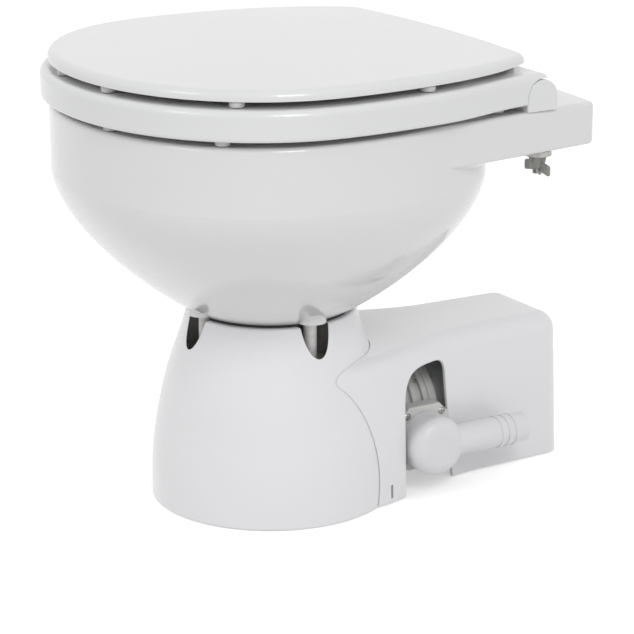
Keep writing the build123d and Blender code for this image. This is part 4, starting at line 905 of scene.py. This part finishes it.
class TOILET_OT_motor(bpy.types.Operator):
    """Finish the motor and its cradle"""

    bl_idname = "toilet.motor"
    bl_label = "Motor"

    def execute(self, context):
        look = finishes()
        dress(painted_metal("motor paint", look.motor), "motor_can", "motor_end_cap")
        dress(painted_metal("cradle paint", CRADLE_PAINT, roughness=0.4), "motor_cradle")
        steel = drawn_metal("shaft steel", look.steel, along="Y")
        dress(steel, "motor_shaft", "tie_bolts", "motor_bearings")
        core = banded_metal("laminated core", CORE_STEEL, CORE_GAP, spacing=0.0014)
        dress(core, "armature_core")
        dress(banded_metal("copper wire", WIRE_COPPER, WIRE_GAP, spacing=0.0018), "windings")
        bars = banded_metal("commutator copper", BAR_COPPER, BAR_GAP, spacing=0.004, axis="X")
        dress(bars, "commutator")
        dress(soft_rubber("carbon", CARBON, roughness=0.6), "brushes")
        dress(soft_rubber("ferrite", FERRITE, roughness=0.55), "magnets")
        return {"FINISHED"}


class TOILET_OT_stage(bpy.types.Operator):
    """Set up the white tent, its floor, two soft boxes and the camera"""

    bl_idname = "toilet.stage"
    bl_label = "Stage"

    def execute(self, context):
        studio = context.scene.toilet_studio
        self.make_floor(studio.floor_glow)
        self.make_tent(context, studio.surround)
        front_power = studio.lamp_power * studio.fill_share
        self.make_lamp(context, "front box", studio.front_azimuth, front_power)
        self.make_lamp(context, "side box", studio.side_azimuth, studio.lamp_power)
        self.make_camera(context)
        context.scene.view_settings.view_transform = "Standard"
        return {"FINISHED"}

    def make_floor(self, glow):
        """A large matt white floor that looks white where no shadow lies."""
        width, gap = 24, 0.0004
        deselect()
        bpy.ops.mesh.primitive_plane_add(size=width, location=(0, 0, -gap))
        floor = bpy.context.object
        floor.name = "floor"
        finish = Finish("white floor")
        finish.hold({"Base Color": (0.85, 0.85, 0.85, 1), "Roughness": 0.9})
        finish.hold({"Specular IOR Level": 0.1, "Emission Color": (1, 1, 1, 1)})
        strength = finish.calculate("MULTIPLY", finish.in_view(), glow)
        finish.links.new(strength, finish.shader.inputs["Emission Strength"])
        floor.data.materials.append(finish.material)

    def make_tent(self, context, brightness):
        """An even surround that lights the toilet softly and looks white."""
        world = bpy.data.worlds.new("white tent")
        context.scene.world = world
        world.use_nodes = True
        recipe = Recipe(world.node_tree)
        output = recipe.nodes.new("ShaderNodeOutputWorld")
        mixer = recipe.nodes.new("ShaderNodeMixShader")
        recipe.links.new(recipe.in_view(), mixer.inputs["Fac"])
        for socket, strength in zip(list(mixer.inputs)[1:], (brightness, 1.0)):
            light = recipe.nodes.new("ShaderNodeBackground")
            light.inputs["Color"].default_value = (1, 1, 1, 1)
            light.inputs["Strength"].default_value = strength
            recipe.links.new(light.outputs["Background"], socket)
        recipe.links.new(mixer.outputs["Shader"], output.inputs["Surface"])

    def make_lamp(self, context, name, azimuth, power):
        """One square soft box aimed at the toilet."""
        studio = context.scene.toilet_studio
        middle_of_toilet = Vector((0, 0.03, 0.19))
        data = bpy.data.lights.new(name, "AREA")
        data.shape = "SQUARE"
        data.size = studio.lamp_size
        data.energy = power
        lamp = bpy.data.objects.new(name, data)
        out = Vector((sin(azimuth), -cos(azimuth), 0)) * cos(studio.lamp_height)
        out.z = sin(studio.lamp_height)
        lamp.location = middle_of_toilet + out * studio.lamp_distance
        lamp.rotation_euler = out.to_track_quat("Z", "Y").to_euler()
        lamp.visible_camera = False
        context.collection.objects.link(lamp)

    def make_camera(self, context):
        """The camera, in the photograph's place."""
        studio = context.scene.toilet_studio
        data = bpy.data.cameras.new("camera")
        data.lens = studio.camera_lens
        data.sensor_width = 36.0
        camera = bpy.data.objects.new("camera", data)
        camera.location = studio.camera_place
        camera.rotation_euler = (pi / 2 - studio.camera_tilt, 0, studio.camera_heading)
        context.collection.objects.link(camera)
        context.scene.camera = camera


class TOILET_PT_steps(bpy.types.Panel):
    """Steps of the toilet's making and what a user would change"""

    bl_label = "Marine toilet"
    bl_space_type = "VIEW_3D"
    bl_region_type = "UI"
    bl_category = "Toilet"

    def draw(self, context):
        for step in STEPS:
            self.layout.operator(f"toilet.{step}")
        for group in (finishes(), sizes(), context.scene.toilet_studio):
            box = self.layout.box()
            for name in group.bl_rna.properties.keys():
                if name not in ("rna_type", "name"):
                    box.prop(group, name)


STEPS = (
    "china", "mouldings", "seals", "bumpers", "hinges", "bowl_fixings", "pump", "screws", "motor",
    "stage",
)
GROUPS = {
    "toilet_finishes": ToiletFinishes,
    "toilet_fittings": ToiletFittings,
    "toilet_studio": ToiletStudio,
}
CLASSES = (
    *GROUPS.values(),
    TOILET_OT_china,
    TOILET_OT_mouldings,
    TOILET_OT_seals,
    TOILET_OT_bumpers,
    TOILET_OT_hinges,
    TOILET_OT_bowl_fixings,
    TOILET_OT_pump,
    TOILET_OT_screws,
    TOILET_OT_motor,
    TOILET_OT_stage,
    TOILET_PT_steps,
)


def register():
    """Register the classes and hang the settings on the scene."""
    for one in CLASSES:
        bpy.utils.register_class(one)
    for name, group in GROUPS.items():
        setattr(bpy.types.Scene, name, bpy.props.PointerProperty(type=group))


def unregister():
    """Take the settings and the classes away again."""
    for name in GROUPS:
        delattr(bpy.types.Scene, name)
    for one in reversed(CLASSES):
        bpy.utils.unregister_class(one)


def main():
    """Make every piece and the stage."""
    register()
    for step in STEPS:
        if getattr(bpy.ops.toilet, step)() != {"FINISHED"}:
            raise RuntimeError(f"the step {step} did not finish")
    deselect()


if __name__ == "__main__":
    main()
